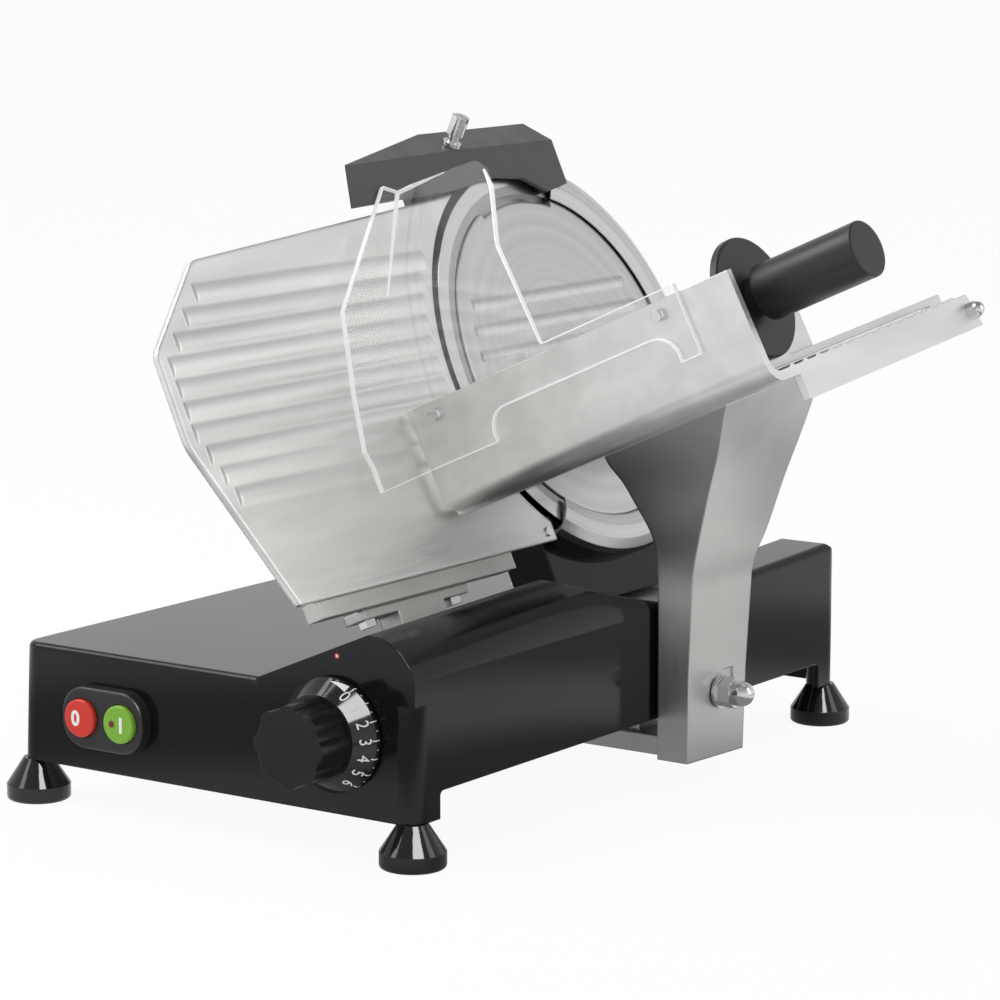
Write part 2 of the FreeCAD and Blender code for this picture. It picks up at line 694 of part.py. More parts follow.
def gauge_lugs():
    y = (GAUGE_ROD_Y[0] - LUG_T * 2, GAUGE_ROD_Y[1] + LUG_T * 2)
    left = box((GAUGE_ROD_N[0], GAUGE_ROD_N[0] + LUG_T), y, (LUG_BOTTOM_V, LUG_BOTTOM_V + LUG_RISE))
    right = box((GAUGE_ROD_N[1] - LUG_T, GAUGE_ROD_N[1]), y, (LUG_BOTTOM_V, LUG_BOTTOM_V + LUG_RISE))
    return [head(left), head(right)]


def gauge_rods_shape():
    left, right = GAUGE_ROD_N
    return [rod(GAUGE_ROD_R, (left, y, GAUGE_ROD_V), (right, y, GAUGE_ROD_V)) for y in GAUGE_ROD_Y]


def post_slot():
    n = (GAUGE_POST_N[0] - GAUGE_TRAVEL - POST_SLOT_GAP, GAUGE_POST_N[1] + POST_SLOT_GAP)
    y = (GAUGE_POST_Y[0] - POST_SLOT_GAP, GAUGE_POST_Y[1] + POST_SLOT_GAP)
    return head(box(n, y, (CARRIER_V[1] + POST_SLOT_GAP, GAUGE_BOTTOM_V)))


def gland_axis(y):
    return (GLAND_INSET_X - BASE_HALF_X, y, GLAND_Z)


def base_casting():
    deck = footprint(PAD_Z, DECK_Z)
    deck = deck.makeFillet(DECK_EDGE_R, [e for e in deck.Edges if abs(e.CenterOfMass.z - DECK_Z) < 0.1])
    outer = joined([deck, ridge(), rim()])
    envelope = footprint(PAD_Z, RIDGE_BACK_Z + 10)
    outer = outer.common(envelope)
    inside = joined(corner_posts() + cover_posts() + gauge_lugs()).common(outer)
    shell = outer.cut(cavity()).fuse(inside)
    knob_hole = rod(KNOB_SHAFT_R + FIT, (KNOB_X, FACE_Y, KNOB_Z), (KNOB_X, FACE_Y + WALL, KNOB_Z))
    window = switch_window()
    gland_hole = rod(GLAND_R, gland_axis(INNER_Y), gland_axis(BASE_HALF_Y))
    studs = [rod(STUD_R, (x, y, PAD_Z), (x, y, STUD_TOP_Z)) for x, y in foot_spots()]
    screws = [cover_shank(x, y) for x, y in cover_spots()]
    rods = [head(r) for r in gauge_rods_shape()]
    holes = [head(tower_outer()), knob_hole, window, gland_hole, skirts(), post_slot()]
    return shell.cut(holes + studs + screws + rods).removeSplitter()


def blade_column():
    """Hollow column through the deck that carries the blade shaft at its front and the motor at its back."""
    shell = tower_outer().cut(tower_inner()).fuse(bearing_bosses())
    back_bore = rod(BEARING_R, blade_axis(TOWER_BACK - BOSS_T), blade_axis(TOWER_BACK + WALL))
    front_bore = rod(BEARING_R, blade_axis(TOWER_FRONT - WALL), blade_axis(TOWER_FRONT))
    placed = head(shell.cut([back_bore, front_bore]).removeSplitter())
    low = COVER_Z + COVER_T + COLUMN_CLEARANCE
    return placed.cut(box((-BASE_HALF_X, BASE_HALF_X), (-BASE_HALF_Y, BASE_HALF_Y), (0, low)))


def bottom_cover():
    x = (COVER_INSET[0] - BASE_HALF_X, BASE_HALF_X - COVER_INSET[1])
    sheet = box(x, (-INNER_Y, INNER_Y), (COVER_Z, COVER_Z + COVER_T))
    corners = [rod(CORNER_POST_R + 1, (-FOOT_X, y, 0), (-FOOT_X, y, DECK_Z)) for y in (-FOOT_Y, FOOT_Y)]
    return sheet.cut(corners + [cover_shank(x, y) for x, y in cover_spots()])


def cover_screws():
    screws = []
    radius, height = COVER_SCREW_HEAD
    for x, y in cover_spots():
        dome = rod(radius, (x, y, COVER_Z - height), (x, y, COVER_Z))
        screws.append(joined([cover_shank(x, y), dome]))
    return Part.makeCompound(screws)


def feet():
    shapes = []
    for x, y in foot_spots():
        rim_part = rod(FOOT_R, (x, y, 0), (x, y, FOOT_RIM_Z))
        low = [e for e in rim_part.Edges if abs(e.CenterOfMass.z) < 0.01 and e.Length > FOOT_R]
        rim_part = rim_part.makeFillet(FOOT_EDGE_R, low)
        cone = Part.makeCone(FOOT_R, FOOT_TOP_R, PAD_Z - FOOT_RIM_Z, V(x, y, FOOT_RIM_Z))
        stud = rod(STUD_R, (x, y, FOOT_RIM_Z), (x, y, PAD_Z))
        shapes.append(joined([rim_part, cone]).cut(stud))
    return Part.makeCompound(shapes)


def foot_studs():
    return Part.makeCompound([rod(STUD_R, (x, y, FOOT_RIM_Z), (x, y, STUD_TOP_Z)) for x, y in foot_spots()])


# ---------------------------------------------------------------- guard ring and cover
def ring_section():
    crown = (RING_INNER_R + RING_OUTER_R) / 2
    low, high = RING_LIP
    half, fall = RING_CROWN
    over, drop = RING_EDGE
    behind = RING_OUTER_R - RING_SHEET
    flange = TOWER_FRONT + RING_FLANGE_T
    outer = [(RING_INNER_R, low), (RING_INNER_R + high - low, high), (crown - half, RING_FRONT)]
    outer += [(crown + half, RING_FRONT - fall), (RING_OUTER_R - over, 0.0), (RING_OUTER_R, -drop)]
    outer += [(RING_OUTER_R, TOWER_FRONT), (RING_FLANGE_R, TOWER_FRONT)]
    inner = [(RING_FLANGE_R, flange), (behind, flange)]
    inner += [(behind, RING_BEND - drop), (behind - RING_FLANGE_T, low)]
    return outer + inner


def blade_sector(start, end, radius, back, front):
    """Wedge about the blade axis, angles clockwise from straight up towards +y."""
    middle = (start + end) / 2

    def spot(angle):
        turn = math.radians(angle)
        return V(back, BLADE_Y + radius * math.sin(turn), BLADE_V + radius * math.cos(turn))

    arc = Part.Arc(spot(start), spot(middle), spot(end)).toShape()
    centre = V(*blade_axis(back))
    wire = Part.Wire([Part.makeLine(centre, spot(start)), arc, Part.makeLine(spot(end), centre)])
    return Part.Face(wire).extrude(V(front - back, 0, 0))


def ring_screw_spots():
    radius = (RING_FLANGE_R + RING_OUTER_R - RING_SHEET) / 2
    turns = [math.radians(a) for a in RING_SCREW_ANGLES]
    return [(BLADE_Y + radius * math.sin(t), BLADE_V + radius * math.cos(t)) for t in turns]


def guard_ring():
    whole = turned(ring_section())
    sector = blade_sector(RING_START, RING_END, RING_OUTER_R + 20, TOWER_FRONT - 1, RING_FRONT + 1)
    back = TOWER_FRONT - 1
    holes = [rod(RING_SCREW[0], (back, y, v), (back + RING_SHEET + 1, y, v)) for y, v in ring_screw_spots()]
    return head(whole.common(sector).cut(holes))


def guard_ring_screws():
    radius, length = RING_SCREW
    shapes = [rod(radius, (TOWER_FRONT, y, v), (TOWER_FRONT + length, y, v)) for y, v in ring_screw_spots()]
    return head(Part.makeCompound(shapes))


def rib_bar(y, v, size):
    """Low rounded rib along y standing on the plane n = 0."""
    width, height = size
    low = V(0, y[0], v - width / 2)
    top = V(height, y[0], v)
    high = V(0, y[0], v + width / 2)
    wire = Part.Wire([Part.Arc(low, top, high).toShape(), Part.makeLine(high, low)])
    return Part.Face(wire).extrude(V(0, y[1] - y[0], 0))


def blade_cover():
    disc = rod(COVER_R, blade_axis(COVER_BACK), blade_axis(0))
    boss = rod(COVER_BOSS_R, blade_axis(BLADE_BACK), blade_axis(COVER_BACK))
    gap = blade_sector(*SHARPENER_GAP, COVER_R + 1, COVER_BACK - 1, 1)
    gap = gap.cut(rod(COVER_R - SHARPENER_GAP_DEPTH, blade_axis(COVER_BACK - 2), blade_axis(2)))
    ribs = []
    for i in range(COVER_RIBS):
        v = (i - (COVER_RIBS - 1) / 2) * COVER_RIB_PITCH
        half = math.sqrt((COVER_R - COVER_RIB_INSET) ** 2 - v ** 2)
        ribs.append(rib_bar((BLADE_Y - half, BLADE_Y + half), BLADE_V + v, (RIB_W, RIB_H)))
    thread = rod(TIE_R + FIT, blade_axis(BLADE_BACK - 1), blade_axis(COVER_BACK - 0.5))
    return head(joined([disc, boss] + ribs).cut([gap, thread]))


def tie_rod():
    return head(rod(TIE_R, blade_axis(SHAFT_BACK - TIE_END), blade_axis(COVER_BACK - 1)))


def tie_knob():
    back = SHAFT_BACK - TIE_KNOB_BACK
    front = SHAFT_BACK - TIE_KNOB_FRONT
    reach = TIE_KNOB_R + TIE_KNOB_DIP_R / 2
    body = rod(TIE_KNOB_R, blade_axis(back), blade_axis(front))
    scallops = []
    for i in range(TIE_KNOB_DIPS):
        turn = 2 * math.pi * i / TIE_KNOB_DIPS
        y = BLADE_Y + reach * math.cos(turn)
        v = BLADE_V + reach * math.sin(turn)
        scallops.append(rod(TIE_KNOB_DIP_R, (back - 1, y, v), (front + 1, y, v)))
    core = rod(TIE_R, blade_axis(SHAFT_BACK - TIE_END), blade_axis(SHAFT_BACK))
    return head(body.cut(scallops + [core]))


# ---------------------------------------------------------------- blade and its drive
def blade_screw_spots():
    turns = [2 * math.pi * (i + 0.5) / BLADE_SCREWS for i in range(BLADE_SCREWS)]
    reach = BLADE_SCREW_RADIUS
    return [(BLADE_Y + reach * math.cos(t), BLADE_V + reach * math.sin(t)) for t in turns]


def screw_at(y, v):
    radius, head_r, height = BLADE_SCREW
    shank = rod(radius, (HUB_BACK, y, v), (BLADE_DISH - height, y, v))
    cheese = rod(head_r, (BLADE_DISH - height, y, v), (BLADE_DISH, y, v))
    return joined([shank, cheese])


def blade():
    points = [(BLADE_BORE_R, BLADE_BACK), (BLADE_R - BLADE_BEVEL, BLADE_BACK)]
    points += [(BLADE_R, -BLADE_EDGE), (BLADE_R, 0.0)]
    points += [(BLADE_BAND_R, -BLADE_BAND_BACK), (BLADE_BAND_R, BLADE_DISH), (BLADE_BORE_R, BLADE_DISH)]
    return head(turned(points).cut([screw_at(y, v) for y, v in blade_screw_spots()]))


def blade_screws():
    return head(Part.makeCompound([screw_at(y, v) for y, v in blade_screw_spots()]))


def blade_hub():
    flange = rod(HUB_R, blade_axis(HUB_BACK), blade_axis(BLADE_BACK))
    spigot = rod(BLADE_BORE_R, blade_axis(BLADE_BACK), blade_axis(BLADE_DISH))
    shaft = rod(SHAFT_R, blade_axis(SHAFT_BACK), blade_axis(HUB_BACK))
    bore = rod(SHAFT_BORE_R, blade_axis(SHAFT_BACK), blade_axis(BLADE_DISH))
    recess = rod(HUB_RECESS_R, blade_axis(BLADE_BACK - 1), blade_axis(BLADE_DISH))
    screws = [screw_at(y, v) for y, v in blade_screw_spots()]
    return head(joined([flange, spigot, shaft]).cut([bore, recess] + screws))


def bearing_spans():
    front = (TOWER_FRONT - 1 - BEARING_LENGTH, TOWER_FRONT - 1)
    back = (TOWER_BACK - 4, TOWER_BACK - 4 + BEARING_LENGTH)
    return front, back


def shaft_bearings():
    shapes = [tube(BEARING_R, SHAFT_R + FIT, blade_axis(s[0]), blade_axis(s[1])) for s in bearing_spans()]
    return head(Part.makeCompound(shapes))


def blade_pulley():
    wheel = rod(BLADE_PULLEY_R, blade_axis(PULLEY_BACK), blade_axis(PULLEY_FRONT))
    rim_r = BLADE_PULLEY_R - PULLEY_RIM
    hollow = tube(rim_r, PULLEY_CORE_R, blade_axis(PULLEY_FRONT - PULLEY_HOLLOW), blade_axis(PULLEY_FRONT))
    back_hollow = tube(rim_r, PULLEY_CORE_R, blade_axis(PULLEY_BACK), blade_axis(PULLEY_BACK + PULLEY_HOLLOW))
    bore = rod(SHAFT_R, blade_axis(PULLEY_BACK), blade_axis(PULLEY_FRONT))
    return head(wheel.cut([hollow, back_hollow, bore]))


def motor_axis(n):
    return (n, BLADE_Y, MOTOR_V)


def motor_pulley():
    wheel = rod(MOTOR_PULLEY_R, motor_axis(PULLEY_BACK), motor_axis(PULLEY_FRONT))
    bore = rod(MOTOR_SHAFT_R, motor_axis(PULLEY_BACK), motor_axis(PULLEY_FRONT - PULLEY_CAP))
    return head(wheel.cut(bore))


def motor_shaft():
    back = MOTOR_FRONT - MOTOR_SHAFT_END
    return head(rod(MOTOR_SHAFT_R, motor_axis(back), motor_axis(PULLEY_FRONT - PULLEY_CAP)))


def motor_can():
    can = rod(MOTOR_R, motor_axis(MOTOR_BACK), motor_axis(MOTOR_FRONT))
    edge = [e for e in can.Edges if abs(e.CenterOfMass.x - MOTOR_BACK) < 0.01 and e.Length > MOTOR_R]
    can = can.makeFillet(MOTOR_EDGE_R, edge)
    bore = rod(MOTOR_SHAFT_R + FIT, motor_axis(MOTOR_FRONT - MOTOR_SHAFT_END - 1), motor_axis(MOTOR_FRONT))
    return head(can.cut(bore))


def motor_flange():
    reach = BELL_R - BELL_WALL
    return head(tube(reach, MOTOR_SHAFT_R + 1, motor_axis(MOTOR_FRONT), motor_axis(TOWER_BACK)))


def belt_loop(extra):
    """Belt outline about both pulleys at a distance from their rims, in the head's y and v."""
    big = BLADE_PULLEY_R + extra
    small = MOTOR_PULLEY_R + extra
    span = BLADE_V - MOTOR_V
    lean = math.asin((big - small) / span)
    cos = math.cos(lean)
    sin = math.sin(lean)
    right_big = V(BLADE_Y + big * cos, BLADE_V - big * sin, 0)
    left_big = V(BLADE_Y - big * cos, BLADE_V - big * sin, 0)
    right_small = V(BLADE_Y + small * cos, MOTOR_V - small * sin, 0)
    left_small = V(BLADE_Y - small * cos, MOTOR_V - small * sin, 0)
    over = Part.Arc(right_big, V(BLADE_Y, BLADE_V + big, 0), left_big).toShape()
    under = Part.Arc(left_small, V(BLADE_Y, MOTOR_V - small, 0), right_small).toShape()
    return Part.Wire([over, Part.makeLine(left_big, left_small), under, Part.makeLine(right_small, right_big)])


def drive_belt():
    back = PULLEY_BACK + 1
    front = PULLEY_FRONT - 1
    outside = plate_yv(belt_loop(BELT_GAP + BELT_T), back, front)
    return head(outside.cut(plate_yv(belt_loop(BELT_GAP), back, front)))


# ---------------------------------------------------------------- electrics
def capacitor():
    x = CAPACITOR_INSET_X - BASE_HALF_X
    floor = COVER_Z + COVER_T
    width, inset = CAPACITOR_FOOT
    can = rod(CAPACITOR_R, (x, CAPACITOR_Y[0], floor + CAPACITOR_R), (x, CAPACITOR_Y[1], floor + CAPACITOR_R))
    foot_y = (CAPACITOR_Y[0] + inset, CAPACITOR_Y[1] - inset)
    foot = box((x - width / 2, x + width / 2), foot_y, (floor, floor + CAPACITOR_R / 2))
    return joined([can, foot])


def contact_block():
    x = (SWITCH_X - CONTACT_W / 2, SWITCH_X + CONTACT_W / 2)
    z = (SWITCH_Z - CONTACT_H / 2, SWITCH_Z + CONTACT_H / 2)
    body = box(x, (FACE_Y + WALL, FACE_Y + WALL + CONTACT_DEPTH), z)
    radius, depth = CONTACT_POCKET
    back = FACE_Y + WALL
    return body.cut([rod(radius, (x, back, SWITCH_Z), (x, back + depth, SWITCH_Z)) for x in button_xs()])


def button_xs():
    return (SWITCH_X - BUTTON_PITCH / 2, SWITCH_X + BUTTON_PITCH / 2)


def switch_window():
    """Long opening through the front wall round both buttons."""
    radius = BUTTON_R + BUTTON_GAP + SWITCH_COLLAR
    left, right = button_xs()
    ends = [rod(radius, (x, FACE_Y, SWITCH_Z), (x, FACE_Y + WALL, SWITCH_Z)) for x in (left, right)]
    middle = box((left, right), (FACE_Y, FACE_Y + WALL), (SWITCH_Z - radius, SWITCH_Z + radius))
    return joined(ends + [middle])


def switch_surround():
    half_w = SWITCH_W / 2
    half_h = SWITCH_H / 2
    corners = [(-half_w, -half_h), (half_w, -half_h), (half_w, half_h), (-half_w, half_h)]
    outline = rounded_outline(corners, [half_h - SWITCH_FLAT] * 4)
    body = Part.Face(outline).extrude(V(0, 0, SWITCH_DEPTH))
    body.Placement = FreeCAD.Placement(V(SWITCH_X, FACE_Y, SWITCH_Z), FreeCAD.Rotation(V(1, 0, 0), 90))
    front = [e for e in body.Edges if abs(e.CenterOfMass.y - (FACE_Y - SWITCH_DEPTH)) < 0.01]
    body = body.makeFillet(SWITCH_EDGE_R, front)
    front = FACE_Y - SWITCH_DEPTH - 1
    radius = BUTTON_R + BUTTON_GAP
    bores = [rod(radius, (x, front, SWITCH_Z), (x, FACE_Y + WALL, SWITCH_Z)) for x in button_xs()]
    return joined([body, switch_window()]).cut(bores)


def push_button(x):
    front = FACE_Y - SWITCH_DEPTH - BUTTON_PROUD
    back = FACE_Y + WALL - BUTTON_TRAVEL - BUTTON_REST
    stem_r, reach = BUTTON_STEM
    cap = rod(BUTTON_R, (x, front, SWITCH_Z), (x, back, SWITCH_Z))
    rim_edge = [e for e in cap.Edges if abs(e.CenterOfMass.y - front) < 0.01 and e.Length > BUTTON_R]
    cap = cap.makeFillet(BUTTON_EDGE_R, rim_edge)
    stem = rod(stem_r, (x, back, SWITCH_Z), (x, FACE_Y + WALL + reach, SWITCH_Z))
    return joined([cap, stem])


def cable_gland():
    flats, thick = GLAND_NUT
    inside = gland_axis(INNER_Y - thick)
    outside = gland_axis(BASE_HALF_Y + GLAND_NOSE)
    body = rod(GLAND_FLANGE[0], gland_axis(BASE_HALF_Y), gland_axis(BASE_HALF_Y + GLAND_FLANGE[1]))
    nose = rod(GLAND_R, inside, outside)
    hole = rod(GLAND_CABLE_R, inside, outside)
    nut = hexagon(flats, inside, gland_axis(INNER_Y))
    return joined([body, nose, nut]).cut(hole)


# ---------------------------------------------------------------- thickness knob
def knob_axis(y):
    return (KNOB_X, y, KNOB_Z)


def dial_skirt():
    cone = Part.makeCone(DIAL_FRONT_R, DIAL_R, DIAL_LENGTH - DIAL_RIM, V(*knob_axis(DIAL_FRONT_Y)), V(0, 1, 0))
    rim_part = rod(DIAL_R, knob_axis(DIAL_BACK_Y - DIAL_RIM), knob_axis(DIAL_BACK_Y))
    bore = rod(KNOB_SHAFT_R, knob_axis(DIAL_FRONT_Y), knob_axis(DIAL_BACK_Y))
    return joined([cone, rim_part]).cut(bore)


def knob_grip():
    core = rod(GRIP_R - GRIP_FLUTE, knob_axis(GRIP_FRONT_Y), knob_axis(DIAL_FRONT_Y))
    lobes = []
    for i in range(GRIP_LOBES):
        turn = 2 * math.pi * i / GRIP_LOBES
        x = KNOB_X + (GRIP_R - GRIP_LOBE_R) * math.cos(turn)
        z = KNOB_Z + (GRIP_R - GRIP_LOBE_R) * math.sin(turn)
        lobes.append(rod(GRIP_LOBE_R, (x, GRIP_FRONT_Y, z), (x, DIAL_FRONT_Y, z)))
    bore = rod(KNOB_SHAFT_R, knob_axis(GRIP_FRONT_Y + GRIP_END), knob_axis(DIAL_FRONT_Y))
    return joined([core] + lobes).cut(bore)


def knob_shaft():
    return rod(KNOB_SHAFT_R, knob_axis(GRIP_FRONT_Y + GRIP_END), knob_axis(CAM_FRONT_Y + CAM_T))


def groove_edge(offset):
    """Spiral about the knob axis that meets the follower's line as the knob turns."""
    points = []
    for i in range(GROOVE_STEPS + 1):
        turn = CAM_TURN * i / GROOVE_STEPS
        radius = CAM_START_R + GAUGE_TRAVEL * turn / CAM_TURN + offset
        angle = math.radians(180 + TILT - turn)
        points.append(V(KNOB_X + radius * math.cos(angle), CAM_FRONT_Y - 1, KNOB_Z + radius * math.sin(angle)))
    return points


def cam_groove():
    half = CAM_PIN_R + CAM_CLEARANCE
    outside = groove_edge(half)
    inside = groove_edge(-half)
    outer_curve = Part.BSplineCurve()
    outer_curve.interpolate(outside)
    inner_curve = Part.BSplineCurve()
    inner_curve.interpolate(inside)
    edges = [outer_curve.toShape(), Part.makeLine(outside[-1], inside[-1]), inner_curve.toShape()]
    edges.append(Part.makeLine(inside[0], outside[0]))
    track = Part.Face(Part.Wire(Part.__sortEdges__(edges))).extrude(V(0, CAM_T + 2, 0))
    ends = []
    for points in ((outside[0], inside[0]), (outside[-1], inside[-1])):
        middle = (points[0] + points[1]) * 0.5
        ends.append(rod(half, tuple(middle), (middle.x, middle.y + CAM_T + 2, middle.z)))
    return [track] + ends


def spiral_cam():
    disc = rod(CAM_R, knob_axis(CAM_FRONT_Y), knob_axis(CAM_FRONT_Y + CAM_T))
    bore = rod(KNOB_SHAFT_R, knob_axis(CAM_FRONT_Y), knob_axis(CAM_FRONT_Y + CAM_T))
    return disc.cut([bore] + cam_groove())


# ---------------------------------------------------------------- gauge plate
def gauge_border():
    """Corners of the gauge plate from its lower left to its upper right."""
    heights = [GAUGE_BOTTOM_V] + [BLADE_V + rise for rise in GAUGE_SIDE]
    heights += [BLADE_TOP_V - drop for drop in GAUGE_TOP_DROP]
    foot, side, shoulder, right = GAUGE_LEFT
    return list(zip([BLADE_Y - reach for reach in (foot, side, side, shoulder, right)], heights))


def gauge_outline():
    low_right = (BLADE_Y - GAUGE_RIGHT, GAUGE_BOTTOM_V)
    middle = (BLADE_Y - GAUGE_RIGHT / 2, BLADE_V)
    return rounded_outline([low_right] + gauge_border() + [middle], (2.0,) + GAUGE_CORNERS + (2.0,))


def gauge_left_y(v):
    """Left border of the gauge plate at a height, between the border's corners."""
    border = gauge_border()
    for (low_y, low_v), (high_y, high_v) in zip(border, border[1:]):
        if low_v <= v <= high_v:
            return low_y + (high_y - low_y) * (v - low_v) / (high_v - low_v)
    return border[0][0]


def gauge_ribs():
    bars = []
    for i in range(GAUGE_RIBS):
        v = BLADE_V - GAUGE_RIB_DROP + i * GAUGE_RIB_PITCH
        reach = math.sqrt((GAUGE_CUT_R + RIB_INSET) ** 2 - (v - BLADE_V) ** 2)
        half = GAUGE_RIB[0] / 2
        left = max(gauge_left_y(v - half), gauge_left_y(v + half)) + RIB_INSET
        bars.append(rib_bar((left, BLADE_Y - reach), v, GAUGE_RIB))
    return bars


def gauge_screw_axis(n):
    return (n, BLADE_Y - GAUGE_RIGHT - GAUGE_SCREW_IN, GAUGE_BOTTOM_V + GAUGE_SCREW_UP)


def gauge_plate():
    sheet = plate_yv(gauge_outline(), -GAUGE_T, 0)
    low_cut = rod(GAUGE_CUT_R, blade_axis(-GAUGE_T - 1), blade_axis(1))
    right_cut = box((-GAUGE_T - 1, 1), (BLADE_Y - GAUGE_RIGHT, BLADE_Y), (GAUGE_BOTTOM_V - 1, BLADE_V))
    sheet = sheet.cut([low_cut, right_cut])
    screw = rod(GAUGE_SCREW_R, gauge_screw_axis(-GAUGE_T), gauge_screw_axis(0))
    return head(joined([sheet] + gauge_ribs()).cut(screw))


def gauge_screw():
    radius, height = GAUGE_SCREW_HEAD
    shank = rod(GAUGE_SCREW_R, gauge_screw_axis(-GAUGE_T), gauge_screw_axis(0))
    dome = rod(radius, gauge_screw_axis(0), gauge_screw_axis(height))
    return head(joined([shank, dome]))


def gauge_bracket():
    low = box((-BRACKET_T - 1, -1), BRACKET_Y, (GAUGE_BOTTOM_V - BRACKET_DEPTH, GAUGE_BOTTOM_V))
    upright = box((-BRACKET_T + 2, -GAUGE_T), BRACKET_Y, (GAUGE_BOTTOM_V, GAUGE_BOTTOM_V + BRACKET_RISE))
    flange_n = (GAUGE_POST_N[0] + 2, -BRACKET_T)
    flange_y = (BOLT_Y[0] - FLANGE_REACH, BOLT_Y[1] + FLANGE_REACH)
    flange = box(flange_n, flange_y, (CARRIER_TOP_V, CARRIER_TOP_V + BRACKET_FLANGE_T))
    shape = joined([low, upright, flange])
    return head(shape.cut([bolt_shank(y) for y in BOLT_Y]))


def bolt_shank(y):
    return rod(BOLT_R, (BOLT_N, y, CARRIER_TOP_V - FLANGE_T), (BOLT_N, y, CARRIER_TOP_V + BRACKET_FLANGE_T - 1))


def bracket_bolts():
    bolts = []
    for y in BOLT_Y:
        low = CARRIER_TOP_V - FLANGE_T
        head_part = hexagon(BOLT_HEAD[0], (BOLT_N, y, low - BOLT_HEAD[1]), (BOLT_N, y, low))
        bolts.append(joined([bolt_shank(y), head_part]))
    return head(Part.makeCompound(bolts))


def pin_axis(y):
    return (KNOB_N - CAM_START_R, y, KNOB_V)


def gauge_carrier():
    block = box(CARRIER_N, CARRIER_Y, CARRIER_V)
    post = box(GAUGE_POST_N, GAUGE_POST_Y, (CARRIER_V[1], CARRIER_TOP_V))
    flange_y = (BOLT_Y[0] - FLANGE_REACH, BOLT_Y[1] + FLANGE_REACH)
    flange = box(GAUGE_POST_N, flange_y, (CARRIER_TOP_V - FLANGE_T, CARRIER_TOP_V))
    pin = pin_axis(CARRIER_Y[0])
    half, depth, below = CAM_TAB
    tab_y = (CARRIER_Y[0], CARRIER_Y[0] + depth)
    tab = box((pin[0] - half, pin[0] + half), tab_y, (KNOB_V - below, CARRIER_V[0]))
    left, right = CARRIER_N
    bores = [rod(GAUGE_ROD_R + FIT, (left, y, GAUGE_ROD_V), (right, y, GAUGE_ROD_V)) for y in GAUGE_ROD_Y]
    follower = rod(CAM_PIN_R, pin_axis(CAM_FRONT_Y + 1), pin_axis(CARRIER_Y[0] + 1))
    return head(joined([block, post, flange, tab, follower]).cut(bores + [bolt_shank(y) for y in BOLT_Y]))


def gauge_guide_rods():
    return head(Part.makeCompound(gauge_rods_shape()))


# ---------------------------------------------------------------- carriage below the tray
def carriage_guide_rod():
    return rod(ROD_R, (ROD_X, -INNER_Y, ROD_Z), (ROD_X, INNER_Y, ROD_Z))


def carriage_guide_bar():
    return box(BAR_X, (-INNER_Y, INNER_Y), BAR_Z)


def block_bore(radius, y):
    return rod(radius, (ROD_X, y[0], ROD_Z), (ROD_X, y[1], ROD_Z))


def slide_block():
    body = box((ROD_X - BLOCK_HALF, ROD_X + BLOCK_HALF), FOOT_BAR_Y, (ROD_Z - BLOCK_HALF, ROD_Z + BLOCK_HALF))
    half, inset = BLOCK_STEM
    stem_y = (FOOT_BAR_Y[0] + inset, FOOT_BAR_Y[1] - inset)
    stem = box((ROD_X - half, ROD_X + half), stem_y, (FOOT_BAR_Z[1], ROD_Z - BLOCK_HALF))
    bores = [block_bore(ROD_R + 1, FOOT_BAR_Y)] + [block_bore(BUSH_R, span) for span in bush_spans()]
    return joined([body, stem]).cut(bores)


def bush_spans():
    front = (FOOT_BAR_Y[0], FOOT_BAR_Y[0] + BUSH_LENGTH)
    back = (FOOT_BAR_Y[1] - BUSH_LENGTH, FOOT_BAR_Y[1])
    return front, back


def slide_bushes():
    return Part.makeCompound([block_bore(BUSH_R, s).cut(block_bore(ROD_R + FIT, s)) for s in bush_spans()])


def carriage_foot():
    return box(FOOT_BAR_X, FOOT_BAR_Y, FOOT_BAR_Z)


def guide_shoe():
    """Channel that grips the flat bar on three sides and bolts down to the carriage foot."""
    y = (FOOT_BAR_Y[0] + SHOE_INSET, FOOT_BAR_Y[1] - SHOE_INSET)
    body = box((BAR_X[0] - SHOE_WALL, BAR_X[1] + SHOE_WALL), y, (FOOT_BAR_Z[1], BAR_Z[1] + BAR_GAP + SHOE_ROOF))
    slot = box((BAR_X[0] - BAR_GAP, BAR_X[1] + BAR_GAP), y, (BAR_Z[0] - BAR_GAP, BAR_Z[1] + BAR_GAP))
    return body.cut(slot)


def arm_rows():
    """Corner rows of the arm from its foot to the underside of the tray: FL, FR, RR, RL."""
    origin = tray_point(0, 0, 0)
    height = origin[2] - ARM_BOTTOM_Z
    foot = V(ARM_INNER_X, 0, ARM_BOTTOM_Z)
    rows = [[foot + V(x, y, share * height) for x, y, share in row] for row in ARM_POST_ROWS]
    rows += [[V(*origin) + V(*corner) for corner in row] for row in ARM_WING_ROWS]
    rows.append([V(*tray_point(n, yp, TRAY_FLOOR)) for n, yp in ARM_TOP])
    return rows


def arm_bolt_axis(x):
    return (x, ARM_BOLT_Y, ARM_BOLT_Z)


def arm_solid():
    """Straight post up to the bend, then four smooth corner lines joined by ruled faces up to the tray."""
    rows = arm_rows()
    wires = [Part.makePolygon(row + [row[0]]) for row in rows]
    bend = len(ARM_POST_ROWS) - 2
    post = Part.makeLoft(wires[:bend + 1], True, True)
    lines = []
    for corner in zip(*rows[bend:]):
        curve = Part.BSplineCurve()
        curve.interpolate(Points=list(corner), InitialTangent=V(0, 0, 1), FinalTangent=corner[-1] - corner[-2])
        lines.append(curve.toShape())
    sides = [Part.makeRuledSurface(lines[i - 1], lines[i]) for i in range(len(lines))]
    caps = [Part.Face(wires[bend]), Part.Face(wires[-1])]
    wing = Part.makeSolid(Part.makeShell(Part.makeCompound(sides + caps).Faces))
    return joined([post, wing])


